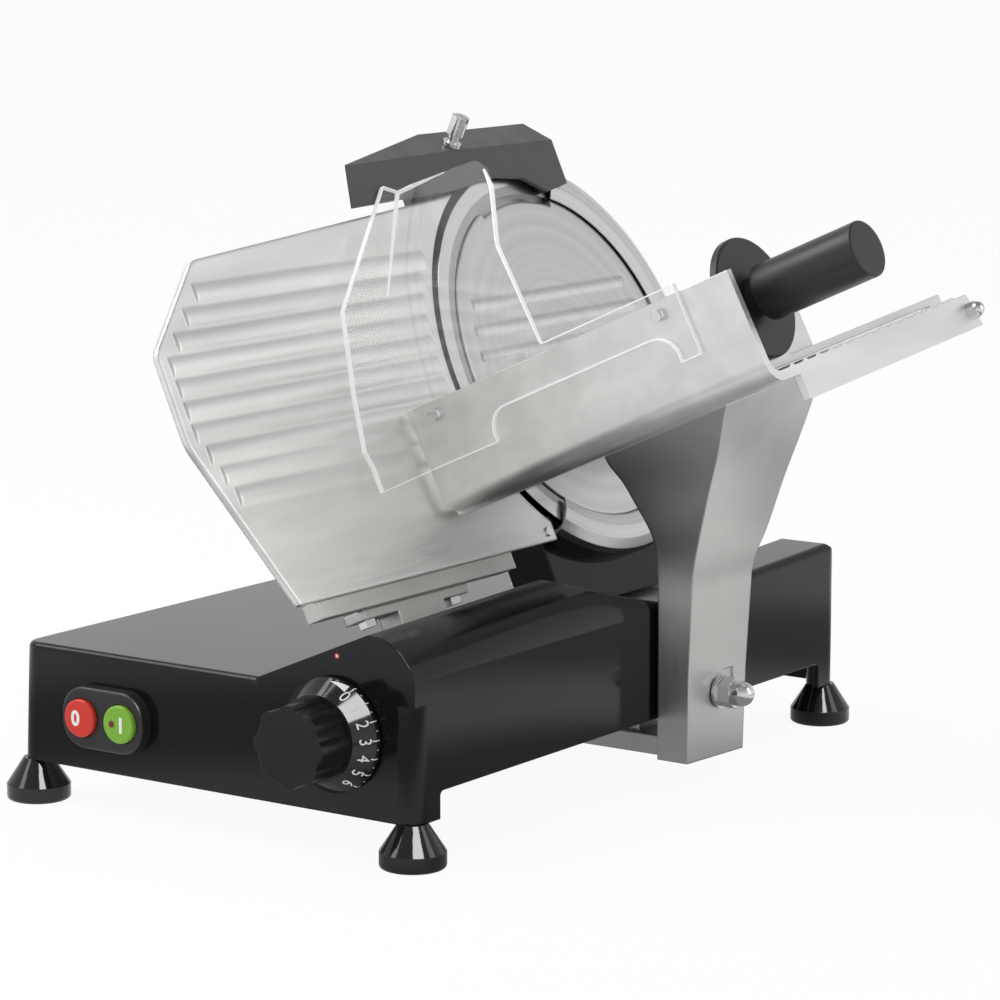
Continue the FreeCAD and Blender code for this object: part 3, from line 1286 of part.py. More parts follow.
def carriage_arm():
    solid = arm_solid()
    radius, height = ARM_BOLT_HEAD
    beyond = ARM_SEAT_X + 2 * ARM_SEAT
    bolt = rod(ARM_BOLT_R, arm_bolt_axis(ARM_INNER_X - 1), arm_bolt_axis(beyond))
    recess = rod(radius, arm_bolt_axis(ARM_INNER_X - 1), arm_bolt_axis(ARM_INNER_X + height))
    y = (ARM_BOLT_Y - ARM_SEAT_HALF, ARM_BOLT_Y + ARM_SEAT_HALF)
    seat = box((ARM_SEAT_X, beyond), y, (ARM_BOLT_Z - ARM_SEAT_HALF, ARM_BOLT_Z + ARM_SEAT_HALF))
    return solid.cut([bolt, recess, seat])


def arm_bolt():
    radius, height = ARM_BOLT_HEAD
    head_part = rod(radius, arm_bolt_axis(ARM_INNER_X), arm_bolt_axis(ARM_INNER_X + height))
    shank = rod(ARM_BOLT_R, arm_bolt_axis(ARM_INNER_X + height), arm_bolt_axis(ARM_SEAT_X + ARM_BOLT_END))
    return joined([head_part, shank])


def arm_nut():
    hex_x = ARM_SEAT_X + NUT_WASHER[1]
    barrel_x = hex_x + NUT_HEX[1]
    dome_x = barrel_x + NUT_BARREL[1]
    washer = rod(NUT_WASHER[0], arm_bolt_axis(ARM_SEAT_X), arm_bolt_axis(hex_x))
    nut = hexagon(NUT_HEX[0], arm_bolt_axis(hex_x), arm_bolt_axis(barrel_x))
    barrel = rod(NUT_BARREL[0], arm_bolt_axis(barrel_x), arm_bolt_axis(dome_x))
    dome = Part.makeSphere(NUT_BARREL[0], V(*arm_bolt_axis(dome_x)))
    bore = rod(ARM_BOLT_R, arm_bolt_axis(ARM_SEAT_X), arm_bolt_axis(ARM_SEAT_X + ARM_BOLT_END))
    return joined([washer, nut, barrel, dome]).cut(bore)


# ---------------------------------------------------------------- tray
def tray_section():
    """L section in the tray's yp and vp, with the bend rounded inside and out."""
    inner_r = TRAY_BEND_R - TRAY_T
    corner = math.sqrt(0.5)
    out_c = (TRAY_BEND_R, TRAY_FLOOR + TRAY_BEND_R)
    in_c = (TRAY_WALL_T + inner_r, TRAY_TOP + inner_r)
    out_mid = (out_c[0] - TRAY_BEND_R * corner, out_c[1] - TRAY_BEND_R * corner)
    in_mid = (in_c[0] - inner_r * corner, in_c[1] - inner_r * corner)

    def at(yp, vp):
        return V(TRAY_LEFT, yp, vp)

    edges = [
        Part.makeLine(at(TRAY_BACK, TRAY_FLOOR), at(out_c[0], TRAY_FLOOR)),
        Part.Arc(at(out_c[0], TRAY_FLOOR), at(*out_mid), at(0, out_c[1])).toShape(),
        Part.makeLine(at(0, out_c[1]), at(0, TRAY_WALL_TOP)),
        Part.makeLine(at(0, TRAY_WALL_TOP), at(TRAY_WALL_T, TRAY_WALL_TOP)),
        Part.makeLine(at(TRAY_WALL_T, TRAY_WALL_TOP), at(TRAY_WALL_T, in_c[1])),
        Part.Arc(at(TRAY_WALL_T, in_c[1]), at(*in_mid), at(in_c[0], TRAY_TOP)).toShape(),
        Part.makeLine(at(in_c[0], TRAY_TOP), at(TRAY_BACK, TRAY_TOP)),
        Part.makeLine(at(TRAY_BACK, TRAY_TOP), at(TRAY_BACK, TRAY_FLOOR)),
    ]
    return Part.Wire(edges)


def tray_rib(yp):
    low = V(TRAY_LEFT, yp - RIB_W / 2, TRAY_TOP)
    top = V(TRAY_LEFT, yp, TRAY_TOP + RIB_H)
    high = V(TRAY_LEFT, yp + RIB_W / 2, TRAY_TOP)
    wire = Part.Wire([Part.Arc(low, top, high).toShape(), Part.makeLine(high, low)])
    return Part.Face(wire).extrude(V(TRAY_RIGHT - TRAY_LEFT, 0, 0))


def rod_lug():
    """Left support of the pusher rod under the back of the floor."""
    yp = (TRAY_BACK - ROD_LUG_YP[0], PUSH_ROD_YP + ROD_LUG_YP[1])
    n = (TRAY_LEFT + ROD_LUG_N[0], TRAY_LEFT + ROD_LUG_N[1])
    return box(n, yp, (PUSH_ROD_VP - ROD_LUG_DROP, TRAY_FLOOR))


def push_rod_at(n):
    return (n, PUSH_ROD_YP, PUSH_ROD_VP)


def food_tray():
    ell = Part.Face(tray_section()).extrude(V(TRAY_RIGHT - TRAY_LEFT, 0, 0))
    ribs = [tray_rib(TRAY_RIB_START + i * TRAY_RIB_PITCH) for i in range(TRAY_RIBS)]
    lip_side = [(LIP_FRONT, TRAY_TOP), (LIP_FRONT, LIP_BOTTOM)]
    lip_side += [(LIP_BACK, LIP_BOTTOM), (LIP_BACK - LIP_LEAN, TRAY_TOP)]
    lip = profile_along_x(lip_side, TRAY_RIGHT - LIP_T, TRAY_RIGHT)
    shape = joined([ell] + ribs + [lip, rod_lug()])
    wall_hole = [rod(GUARD_SCREW_R, (n, 0, vp), (n, TRAY_WALL_T, vp)) for n, vp in GUARD_SCREWS]
    rod_hole = rod(PUSH_ROD_R, push_rod_at(TRAY_LEFT), push_rod_at(TRAY_RIGHT))
    return on_tray(shape.cut(wall_hole + [rod_hole, wall_corner_cut()]))


def wall_corner_cut():
    """Rounds the lower left corner of the wall and the upper right one."""
    right = TRAY_LEFT + TRAY_CORNER_R
    high = TRAY_FLOOR + TRAY_CORNER_R
    yp = (-1, TRAY_CORNER_DEPTH)
    base = box((TRAY_LEFT, right), yp, (TRAY_FLOOR - 1, high))
    return base.cut(rod(TRAY_CORNER_R, (right, yp[0], high), (right, yp[1], high)))


def pusher_rod():
    bar = rod(PUSH_ROD_R, push_rod_at(TRAY_LEFT + 1), push_rod_at(TRAY_RIGHT))
    end = rod(PUSH_ROD_END_R, push_rod_at(TRAY_RIGHT), push_rod_at(TRAY_RIGHT + ROD_NUT_T))
    return on_tray(joined([bar, end]))


def rod_nut():
    end = TRAY_RIGHT + ROD_NUT_T
    hexa = hexagon(ROD_NUT_AF, push_rod_at(TRAY_RIGHT), push_rod_at(end))
    dome = Part.makeSphere(ROD_NUT_AF / 2, V(*push_rod_at(end)))
    bore = rod(PUSH_ROD_END_R, push_rod_at(TRAY_RIGHT), push_rod_at(end))
    return on_tray(joined([hexa, dome]).cut(bore))


# ---------------------------------------------------------------- hand guard
def thickened(points, thickness):
    """Closed outline of a bent strip: the points, then the same line moved out to its left by the thickness."""
    line = [V(x, y, 0) for x, y in points]
    normals = []
    for start, end in zip(line, line[1:]):
        along = (end - start).normalize()
        normals.append(V(-along.y, along.x, 0))
    moved = [line[0] + normals[0] * thickness]
    for i in range(1, len(line) - 1):
        bisector = (normals[i - 1] + normals[i]).normalize()
        moved.append(line[i] + bisector * (thickness / bisector.dot(normals[i])))
    moved.append(line[-1] + normals[-1] * thickness)
    return [(p.x, p.y) for p in line + moved[::-1]]


def guard_flap_outline():
    low = GUARD_STRIP[0]
    return [(0.0, low)] + list(GUARD_FLAP) + list(GUARD_BEND[::-1])


def guard_side():
    """Bent sheet on the wall, cut to its outline as seen square to the wall."""
    section = thickened(((0.0, GUARD_STRIP[0]),) + GUARD_BEND, GUARD_T)
    sheet = profile_along_x(section, GUARD_N, GUARD_RIGHT)
    outline = [(GUARD_N, 0.0), (GUARD_RIGHT, 0.0), (GUARD_RIGHT, GUARD_STRIP[1])] + list(GUARD_EDGE)
    outline += [(GUARD_N, GUARD_BEND[-1][1] + GUARD_T)]
    return sheet.common(profile_along_y(outline, -GUARD_T * 2, GUARD_BEND[-1][0] + GUARD_T))


def hand_guard():
    flap = profile_along_x(guard_flap_outline(), GUARD_N, GUARD_N + GUARD_T)
    slot = box(GUARD_SLOT[:2], (-GUARD_T - 1, 1), GUARD_SLOT[2:])
    top_edges = [e for e in slot.Edges if abs(e.CenterOfMass.z - GUARD_SLOT[3]) < 0.1]
    slot_edge = [e for e in top_edges if e.Length < 2 * GUARD_T]
    slot = slot.makeFillet(GUARD_SLOT_R, slot_edge)
    holes = [rod(GUARD_SCREW_R, (n, -GUARD_T, vp), (n, 0, vp)) for n, vp in GUARD_SCREWS]
    return on_tray(joined([flap, guard_side()]).cut([slot] + holes))


def hand_guard_screws():
    screws = []
    for n, vp in GUARD_SCREWS:
        shank = rod(GUARD_SCREW_R, (n, -GUARD_T, vp), (n, TRAY_WALL_T, vp))
        dome = rod(GUARD_SCREW_HEAD[0], (n, -GUARD_T - GUARD_SCREW_HEAD[1], vp), (n, -GUARD_T, vp))
        screws.append(joined([shank, dome]))
    return on_tray(Part.makeCompound(screws))


# ---------------------------------------------------------------- food pusher
def pusher_sleeve():
    outer = rod(PUSH_SLEEVE_R, push_rod_at(PUSH_SLEEVE_N[0]), push_rod_at(PUSH_SLEEVE_N[1]))
    left = rod(PUSH_HUB_R - 1, push_rod_at(PUSH_HUB_N[0] - PUSH_COLLAR), push_rod_at(PUSH_HUB_N[0] - FIT))
    right = rod(PUSH_HUB_R - 1, push_rod_at(PUSH_HUB_N[1] + FIT), push_rod_at(PUSH_HUB_N[1] + PUSH_COLLAR))
    bore = rod(PUSH_ROD_R + FIT, push_rod_at(PUSH_SLEEVE_N[0]), push_rod_at(PUSH_SLEEVE_N[1]))
    return on_tray(joined([outer, left, right]).cut(bore))


def pusher_arm():
    n = (PLATE_N[1], DISC_N[0])
    strap = box(n, (PLATE_YP[0], PUSH_ROD_YP + PUSH_HUB_R), STRAP_VP)
    web = box(n, (PUSH_ROD_YP - PUSH_HUB_R, PUSH_ROD_YP + PUSH_HUB_R), (PUSH_ROD_VP, STRAP_VP[1]))
    barrel = rod(PUSH_HUB_R, push_rod_at(PUSH_HUB_N[0]), push_rod_at(PUSH_HUB_N[1]))
    bore = rod(PUSH_SLEEVE_R + FIT, push_rod_at(PUSH_HUB_N[0]), push_rod_at(PUSH_HUB_N[1]))
    hub = box(n, (DISC_YP - PLATE_HUB[0], DISC_YP + PLATE_HUB[0]), (STRAP_VP[1], DISC_VP + PLATE_HUB[1]))
    face = box(PLATE_N, PLATE_YP, (STRAP_VP[0], PLATE_TOP))
    teeth = []
    depth, tall = TOOTH
    for i in range(TEETH):
        vp = STRAP_VP[1] + i * TOOTH_PITCH
        edge = [(0.0, vp), (depth, vp + tall / 2), (0.0, vp + tall)]
        points = [V(PLATE_N[0] - out, PLATE_YP[0], up) for out, up in edge]
        wedge = Part.Face(Part.makePolygon(points + [points[0]])).extrude(V(0, PLATE_YP[1] - PLATE_YP[0], 0))
        teeth.append(wedge)
    stud = rod(HANDLE_STUD_R, (PLATE_N[1], DISC_YP, DISC_VP), (DISC_N[0], DISC_YP, DISC_VP))
    return on_tray(joined([strap, web, barrel, hub, face] + teeth).cut([stud, bore]))


def handle_disc():
    disc = rod(DISC_R, (DISC_N[0], DISC_YP, DISC_VP), (DISC_N[1], DISC_YP, DISC_VP))
    edges = [e for e in disc.Edges if e.Length > DISC_R and abs(e.CenterOfMass.x - DISC_N[1]) < 0.01]
    disc = disc.makeFillet(DISC_EDGE_R, edges)
    return on_tray(disc.cut(rod(HANDLE_STUD_R, (DISC_N[0], DISC_YP, DISC_VP), (DISC_N[1], DISC_YP, DISC_VP))))


def pusher_handle():
    start = DISC_N[1]
    narrower, length = HANDLE_NECK
    grip_n = start + length
    neck = rod(HANDLE_R - narrower, (start, DISC_YP, DISC_VP), (grip_n, DISC_YP, DISC_VP))
    grip = rod(HANDLE_R, (grip_n, DISC_YP, DISC_VP), (HANDLE_END, DISC_YP, DISC_VP))
    edges = [e for e in grip.Edges if e.Length > HANDLE_R]
    ends = [e for e in edges if min(abs(e.CenterOfMass.x - grip_n), abs(e.CenterOfMass.x - HANDLE_END)) < 0.01]
    grip = grip.makeFillet(HANDLE_EDGE_R, ends)
    stud = rod(HANDLE_STUD_R, (PLATE_N[1], DISC_YP, DISC_VP), (start + 1, DISC_YP, DISC_VP))
    return on_tray(joined([neck, grip, stud]))


# ---------------------------------------------------------------- sharpener
def hood_section(y, inset):
    """Hood outline square to y: front, bevel, roof, back."""
    front = HOOD_FRONT - inset
    back = HOOD_BACK + inset
    top = HOOD_TOP_V - inset
    points = [(front, HOOD_BOTTOM_V), (front, HOOD_BEVEL_V - inset * HOOD_BEVEL_SHARE), (HOOD_BEVEL_N, top)]
    points += [(back, top), (back, HOOD_BOTTOM_V)]
    return Part.makePolygon([V(n, y, v) for n, v in points + [points[0]]])


def hood_left_section(inset):
    """Outline of the hood's slanted left end, where the bevel has run out."""
    front = HOOD_FRONT - inset
    back = HOOD_BACK + inset
    edge_v = HOOD_BEVEL_V - HOOD_LEFT_DROP
    out, up = HOOD_LEFT_CORNER
    points = [(front, HOOD_BOTTOM_V), (front, edge_v - inset), (front - out, edge_v + up - inset)]
    points += [(back, HOOD_LEFT_TOP_V - inset), (back, HOOD_BOTTOM_V)]
    spots = []
    for n, v in points + [points[0]]:
        y = HOOD_LEFT_Y + HOOD_END_SLANT * (HOOD_FRONT - n) + HOOD_END_LEAN * (v - edge_v)
        spots.append(V(n, y + inset * (1 + HOOD_END_SLANT) / 2, v))
    return Part.makePolygon(spots)


def hood_solid(inset):
    left = hood_left_section(inset)
    crease = hood_section(HOOD_CREASE_Y, inset)
    right = hood_section(HOOD_RIGHT_Y - inset, inset)
    return Part.makeLoft([left, crease], True, True).fuse(Part.makeLoft([crease, right], True, True))


def screw_seat():
    """Lock screw's foot on the bevel, and the direction square to the bevel, in the head's frame."""
    run = HOOD_FRONT - HOOD_BEVEL_N
    rise = HOOD_TOP_V - HOOD_BEVEL_V
    length = math.hypot(run, rise)
    seat = V(HOOD_FRONT - run * SCREW_SEAT, SCREW_Y, HOOD_BEVEL_V + rise * SCREW_SEAT)
    return seat, V(rise / length, 0, run / length)


def screw_span(radius, low, high):
    seat, up = screw_seat()
    return Part.makeCylinder(radius, high - low, seat + up * low, up)


def sharpener_hood():
    shell = hood_solid(0).cut(hood_solid(HOOD_WALL))
    inner_front = HOOD_FRONT - HOOD_WALL
    house = rod(RING_OUTER_R + HOOD_GAP, blade_axis(HOOD_BACK - 2), blade_axis(inner_front))
    low_v = HOOD_BOTTOM_V - 5
    left, right = BLADE_Y + HOOD_HEM[0][0], BLADE_Y + HOOD_HEM[-1][0]
    hem = [V(inner_front, BLADE_Y + y, BLADE_TOP_V + v) for y, v in HOOD_HEM]
    hem += [V(inner_front, right, low_v), V(inner_front, left, low_v)]
    front_room = Part.Face(Part.makePolygon(hem + [hem[0]])).extrude(V(HOOD_WALL + 1, 0, 0))
    plate_room = box((HOOD_BACK - 1, inner_front), (left, BLADE_Y + HOOD_HEM[2][0]), (low_v, PLATE_SWEEP_V))
    back_room = box((HOOD_BACK - 1, TOWER_FRONT), (left, right), (low_v, HOOD_REAR_V))
    screw_hole = screw_span(SCREW_NECK_R, -HOOD_WALL * 3, 1)
    shape = shell.cut([house, front_room, plate_room, back_room, screw_hole, sharpener_block()])
    solids = sorted(shape.Solids, key=lambda s: s.Volume)
    return head(solids[-1])


def sharpener_block():
    left, right = BLOCK_SIDES
    half, front, above, under = BLOCK_NECK
    body = box(BLOCK_N, (SCREW_Y - left, HOOD_RIGHT_Y - right), (BLADE_V + BLADE_R / 2, HOOD_TOP_V - HOOD_WALL))
    neck_v = (BLADE_V + TOWER_R + above, HOOD_BEVEL_V + under)
    column = box((BLOCK_N[0], front), (SCREW_Y - half, SCREW_Y + half), neck_v)
    return joined([body, column]).cut(rod(TOWER_R, blade_axis(HOOD_BACK - 5), blade_axis(HOOD_FRONT + 5)))


def sharpener_body():
    back, front = SPINDLE_BORE
    bores = [rod(SPINDLE_R + FIT, (back, y, STONE_V), (front, y, STONE_V)) for y in STONE_Y]
    thread = screw_span(SCREW_NECK_R - SCREW_WALL, -SCREW_BORE[0], SCREW_BORE[1])
    return head(sharpener_block().cut(bores + [thread]))


def lock_screw():
    wider, low, high = SCREW_COLLAR
    neck = screw_span(SCREW_NECK_R - SCREW_SLIM, -HOOD_WALL - SCREW_WALL, SCREW_NECK)
    knurl = screw_span(SCREW_HEAD_R, SCREW_NECK, SCREW_NECK + SCREW_HEAD)
    collar = screw_span(SCREW_HEAD_R + wider, low, high)
    shank = screw_span(SCREW_NECK_R - SCREW_WALL - FIT, -SCREW_END, 0)
    width, depth = SCREW_SLOT
    seat, up = screw_seat()
    top = SCREW_NECK + SCREW_HEAD
    slot = box((-SCREW_HEAD_R * 2, SCREW_HEAD_R * 2), (-width / 2, width / 2), (top - depth, top + depth))
    slot.Placement = FreeCAD.Placement(seat, FreeCAD.Rotation(V(0, 0, 1), up))
    return head(joined([neck, knurl, collar, shank]).cut(slot))


def stone(y):
    wheel = rod(STONE_R, (STONE_N[0], y, STONE_V), (STONE_N[1], y, STONE_V))
    spindle = rod(SPINDLE_R, (SPINDLE_BACK, y, STONE_V), (STONE_N[0], y, STONE_V))
    return head(joined([wheel, spindle]))


# ---------------------------------------------------------------- all nodes
def nodes():
    stop_x, start_x = button_xs()
    return {
        "base_casting": base_casting,
        "blade_column": blade_column,
        "bottom_cover": bottom_cover,
        "bottom_cover_screws": cover_screws,
        "feet": feet,
        "foot_studs": foot_studs,
        "guard_ring": guard_ring,
        "guard_ring_screws": guard_ring_screws,
        "blade_cover": blade_cover,
        "cover_tie_rod": tie_rod,
        "cover_knob": tie_knob,
        "blade": blade,
        "blade_screws": blade_screws,
        "blade_hub": blade_hub,
        "shaft_bearings": shaft_bearings,
        "blade_pulley": blade_pulley,
        "drive_belt": drive_belt,
        "motor_pulley": motor_pulley,
        "motor_shaft": motor_shaft,
        "motor_can": motor_can,
        "motor_flange": motor_flange,
        "capacitor": capacitor,
        "contact_block": contact_block,
        "switch_surround": switch_surround,
        "stop_button": lambda: push_button(stop_x),
        "start_button": lambda: push_button(start_x),
        "cable_gland": cable_gland,
        "dial_skirt": dial_skirt,
        "knob_grip": knob_grip,
        "knob_shaft": knob_shaft,
        "spiral_cam": spiral_cam,
        "gauge_plate": gauge_plate,
        "gauge_screw": gauge_screw,
        "gauge_bracket": gauge_bracket,
        "bracket_bolts": bracket_bolts,
        "gauge_carrier": gauge_carrier,
        "gauge_guide_rods": gauge_guide_rods,
        "carriage_guide_rod": carriage_guide_rod,
        "carriage_guide_bar": carriage_guide_bar,
        "slide_block": slide_block,
        "slide_bushes": slide_bushes,
        "guide_shoe": guide_shoe,
        "carriage_foot": carriage_foot,
        "carriage_arm": carriage_arm,
        "arm_bolt": arm_bolt,
        "arm_nut": arm_nut,
        "food_tray": food_tray,
        "hand_guard": hand_guard,
        "hand_guard_screws": hand_guard_screws,
        "pusher_rod": pusher_rod,
        "rod_nut": rod_nut,
        "pusher_sleeve": pusher_sleeve,
        "pusher_arm": pusher_arm,
        "handle_disc": handle_disc,
        "pusher_handle": pusher_handle,
        "sharpener_body": sharpener_body,
        "sharpener_hood": sharpener_hood,
        "sharpener_screw": lock_screw,
        "grinding_stone": lambda: stone(STONE_Y[0]),
        "deburring_stone": lambda: stone(STONE_Y[1]),
    }


def build():
    os.makedirs("parts", exist_ok=True)
    shapes = {name: make() for name, make in nodes().items()}
    whole = Part.makeCompound(list(shapes.values())).BoundBox
    shift = V(-whole.Center.x, -whole.Center.y, -whole.ZMin)
    for name, shape in shapes.items():
        shape.translate(shift)
        shape.exportStep(os.path.join("parts", name + ".step"))
    return shapes, shift


SHAPES, SHIFT = build()
print(len(SHAPES), "nodes, shift", SHIFT)
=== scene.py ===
"""Looks for a tabletop gravity-feed slicer.

Finishes for every machined, cast and moulded piece, the printed scale and button signs, and a
plain studio. Everything is in metres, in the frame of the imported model.
"""
import json
import math
from typing import NamedTuple

import bmesh
import bpy
import numpy as np
from bpy.props import FloatProperty, FloatVectorProperty, IntProperty, PointerProperty
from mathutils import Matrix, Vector
from mathutils.bvhtree import BVHTree


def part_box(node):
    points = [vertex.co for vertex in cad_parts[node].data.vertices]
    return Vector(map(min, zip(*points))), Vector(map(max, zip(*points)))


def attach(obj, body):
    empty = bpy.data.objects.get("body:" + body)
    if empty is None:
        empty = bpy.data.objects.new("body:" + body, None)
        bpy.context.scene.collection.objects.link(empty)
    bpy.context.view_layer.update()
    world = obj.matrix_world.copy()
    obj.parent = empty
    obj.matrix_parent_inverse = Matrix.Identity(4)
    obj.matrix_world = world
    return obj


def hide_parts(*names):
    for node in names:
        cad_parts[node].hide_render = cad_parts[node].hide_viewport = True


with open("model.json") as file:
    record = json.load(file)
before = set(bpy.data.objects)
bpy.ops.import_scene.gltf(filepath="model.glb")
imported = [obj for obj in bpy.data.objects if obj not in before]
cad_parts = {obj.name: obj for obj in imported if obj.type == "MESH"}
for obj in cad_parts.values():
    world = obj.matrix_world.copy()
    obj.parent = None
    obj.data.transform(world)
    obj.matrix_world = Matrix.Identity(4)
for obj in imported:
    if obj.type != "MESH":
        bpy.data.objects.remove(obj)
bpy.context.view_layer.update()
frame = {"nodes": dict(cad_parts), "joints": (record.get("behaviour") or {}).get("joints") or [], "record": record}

bl_info = {
    "name": "Slicer finishes",
    "version": (1, 0, 0),
    "blender": (4, 5, 0),
    "location": "3D View > Sidebar > Slicer",
    "description": "Builds the printed marks, the finishes and the studio of a gravity-feed slicer",
    "category": "Object",
}


# ---------------------------------------------------------------- named values


class AreaLamp(NamedTuple):
    """A soft rectangular lamp: where it stands, what it looks at, and its size."""

    place: tuple
    target: tuple
    width: float
    height: float


class Sign(NamedTuple):
    """What is printed on a button, how far right of its middle, and how much its strokes grow."""

    text: str
    body: str
    slot: str
    aside: float
    bolder: float


MM = 0.001
WHITE = (1.0, 1.0, 1.0, 1.0)

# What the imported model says: joints by name, and each node's body and material slot.
JOINTS = {joint["name"]: joint for joint in frame["joints"]}
BODIES = frame["record"]["behaviour"]["bodies"]
BODY_OF = {node: body for body, nodes in BODIES.items() for node in nodes}
SLOT_OF = {part["node"]: part["material_slot"] for part in frame["record"]["subparts"]}

# The head leans, so patterns on the blade, the ring and the gauge plate are turned with it.
BLADE_CENTRE = Vector(JOINTS["blade_spin"]["pos_m"])
BLADE_AXIS = Vector(JOINTS["blade_spin"]["axis"]).normalized()
HEAD_TURN = (0.0, -math.atan2(BLADE_AXIS.z, BLADE_AXIS.x), 0.0)
BEVEL_STARTS = (114.5 * MM, 115.5 * MM)

# Pieces that a merged copy shows, and what counts as one point, one plane and a crease there.
EASED = ("sharpener_hood", "knob_grip", "hand_guard", "carriage_arm", "food_tray")
SAME_POINT = 0.002 * MM
SAME_PLANE = 0.9999
CREASE_ANGLE = math.radians(18.0)

# The hand guard's sheet. A face is a cut edge where a ray that starts just inside it goes further
#  than CUT_SHARE times the thickness. The band beside a cut edge, frosted white with a painted glow
#  that stands in for the light the edge gathers, is PAINTED_GLOW_WIDTH wide, and each side of the
#  sheet gives up GUARD_AIR.
GUARD_SHEET = 3.0 * MM
CUT_SHARE = 1.6
RAY_START = 0.01 * MM
PAINTED_GLOW_WIDTH = 1.0 * MM
GUARD_AIR = 0.05 * MM

# The dial: a cone with a short cylinder behind it. Each kind of mark stands some way back from
# the cone's front. The wedge narrows to a share of its width, and its turn ahead of the nought is
# in radians.
DIAL_CENTRE = Vector(JOINTS["knob_turn"]["pos_m"])
DIAL_CONE_RISE = 8.0 * MM
DIAL_RIM_WIDTH = 3.0 * MM
DIGITS_BACK = 6.4 * MM
LINES_BACK = 12.2 * MM
LINE_WIDTH = 0.7 * MM
DOTS_BACK = 13.2 * MM
DOT_SIZE = (1.0 * MM, 0.8 * MM)
WEDGE_BACK = 9.8 * MM
WEDGE_LENGTH = 12.0 * MM
WEDGE_WIDTH = 3.8 * MM
WEDGE_POINT = 0.06
WEDGE_COLUMNS = 24
WEDGE_AHEAD = 0.27

# The index dot on the base, from the dial's centre.
INDEX_RIGHT = 2.3 * MM
INDEX_UP = 45.4 * MM
INDEX_RADIUS = 1.7 * MM
INDEX_MIDDLE = 0.8 * MM

# The buttons' signs and the lens of the lamp in the start button.
SIGN_HEIGHT = 9.6 * MM
SIGNS = (
    Sign("0", "stop", "red_button", -2.4 * MM, 0.035),
    Sign("I", "start", "green_button", 2.4 * MM, 0.03),
)
LENS_LEFT = 4.6 * MM
LENS_RADIUS = 2.0 * MM

# The studio's lamps. The softbox only shows in the gloss of the pieces that it is linked to.
KEY_LAMP = AreaLamp((-1.3, -0.9, 2.1), (0.0, 0.0, 0.2), 1.8, 1.8)
SIDE_LAMP = AreaLamp((1.9, 0.7, 1.0), (0.0, 0.0, 0.2), 0.7, 1.6)
SOFTBOX = AreaLamp((1.03, -0.75, 1.55), (0.0, -0.2, 0.05), 1.0, 1.3)
SOFTBOX_SEES = ("dial_skirt", "feet", "base_casting", "blade_column", "switch_surround")

# The camera: its sensor in millimetres, the level direction away from it, and how white it sees
# the floor.
SENSOR_WIDTH = 36.0
BACK_WAY = (-0.567, 0.824)
FLOOR_SHOWN = 0.94

# What gloss sees of the floor, by the distance from its middle, is painted shade: a painted shadow
#  that is dim beneath the object, and a grey ring of painted shade round it, which fades with the
#  distance behind the object.
UNDER_SHADE_LEVEL = 0.3
UNDER_SHADE_ENDS = (0.2, 0.3)
SHADE_RING_LEVEL = 0.4
SHADE_RING_STARTS = (0.34, 0.46)
SHADE_RING_ENDS = (0.56, 0.72)
SHADE_RING_FADES = (0.4, 1.6)

# What gloss sees of the sky: darker towards the top, and a little darker on the camera's side.
SKY_HEIGHTS, SKY_LEVELS = (-0.1, 0.9), (1.08, 0.32)
SKY_SIDES, SIDE_LEVELS = (-0.7, 0.25), (0.95, 1.0)


# ---------------------------------------------------------------- sizes and colours for the user


class StudioSizes(bpy.types.PropertyGroup):
    """Where the camera stands, how large the floor is, and how bright the studio is."""

    camera_place: FloatVectorProperty(
        name="Camera place", description="Where the camera stands", size=3,
        subtype="TRANSLATION", unit="LENGTH", default=(1.3178, -1.9167, 0.5734))
    camera_pitch: FloatProperty(
        name="Camera pitch", description="Tilt of the camera up from straight down",
        subtype="ANGLE", unit="ROTATION", default=math.radians(80.32))
    camera_turn: FloatProperty(
        name="Camera turn", description="Turn of the camera about the upright axis",
        subtype="ANGLE", unit="ROTATION", default=math.radians(35.11))
    camera_lens: FloatProperty(
        name="Lens", description="Focal length in millimetres, on a 36 mm sensor",
        default=139.8, min=10.0)
    floor_size: FloatProperty(
        name="Floor", description="Side of the square floor",
        subtype="DISTANCE", unit="LENGTH", default=60.0)
    floor_colour: FloatVectorProperty(
        name="Floor colour", description="Colour of the plain floor", size=3,
        subtype="COLOR", default=(0.86, 0.86, 0.86))
    sky_level: FloatProperty(
        name="Sky level", description="Strength of the light from all round",
        default=0.62, min=0.0)
    key_power: FloatProperty(
        name="Key lamp", description="Power of the large lamp above and to the left",
        subtype="POWER", unit="POWER", default=42.0)
    side_power: FloatProperty(
        name="Side lamp", description="Power of the tall lamp on the right",
        subtype="POWER", unit="POWER", default=8.0)
    gloss_power: FloatProperty(
        name="Softbox", description="Power of the softbox that only gloss shows",
        subtype="POWER", unit="POWER", default=66.0)


class EnamelLook(bpy.types.PropertyGroup):
    """The black enamel of the base and the column."""

    colour: FloatVectorProperty(
        name="Colour", description="Colour of the enamel", size=3,
        subtype="COLOR", default=(0.006, 0.006, 0.0066))
    roughness: FloatProperty(
        name="Roughness", description="Roughness of the enamel where it is clean",
        default=0.085, min=0.0, max=1.0)
    orange_peel: FloatProperty(
        name="Orange peel", description="Height of the slight ripple of the enamel",
        subtype="DISTANCE", unit="LENGTH", default=0.00001)


class AluminiumLook(bpy.types.PropertyGroup):
    """The anodised, cast and spun aluminium."""

    anodised: FloatVectorProperty(
        name="Anodised", description="Colour of the gauge plate and the tray", size=3,
        subtype="COLOR", default=(0.80, 0.80, 0.785))
    cast: FloatVectorProperty(
        name="Cast", description="Colour of the arm and the inner castings", size=3,
        subtype="COLOR", default=(0.60, 0.595, 0.58))
    spun: FloatVectorProperty(
        name="Spun", description="Colour of the guard ring and the blade cover", size=3,
        subtype="COLOR", default=(0.64, 0.64, 0.632))


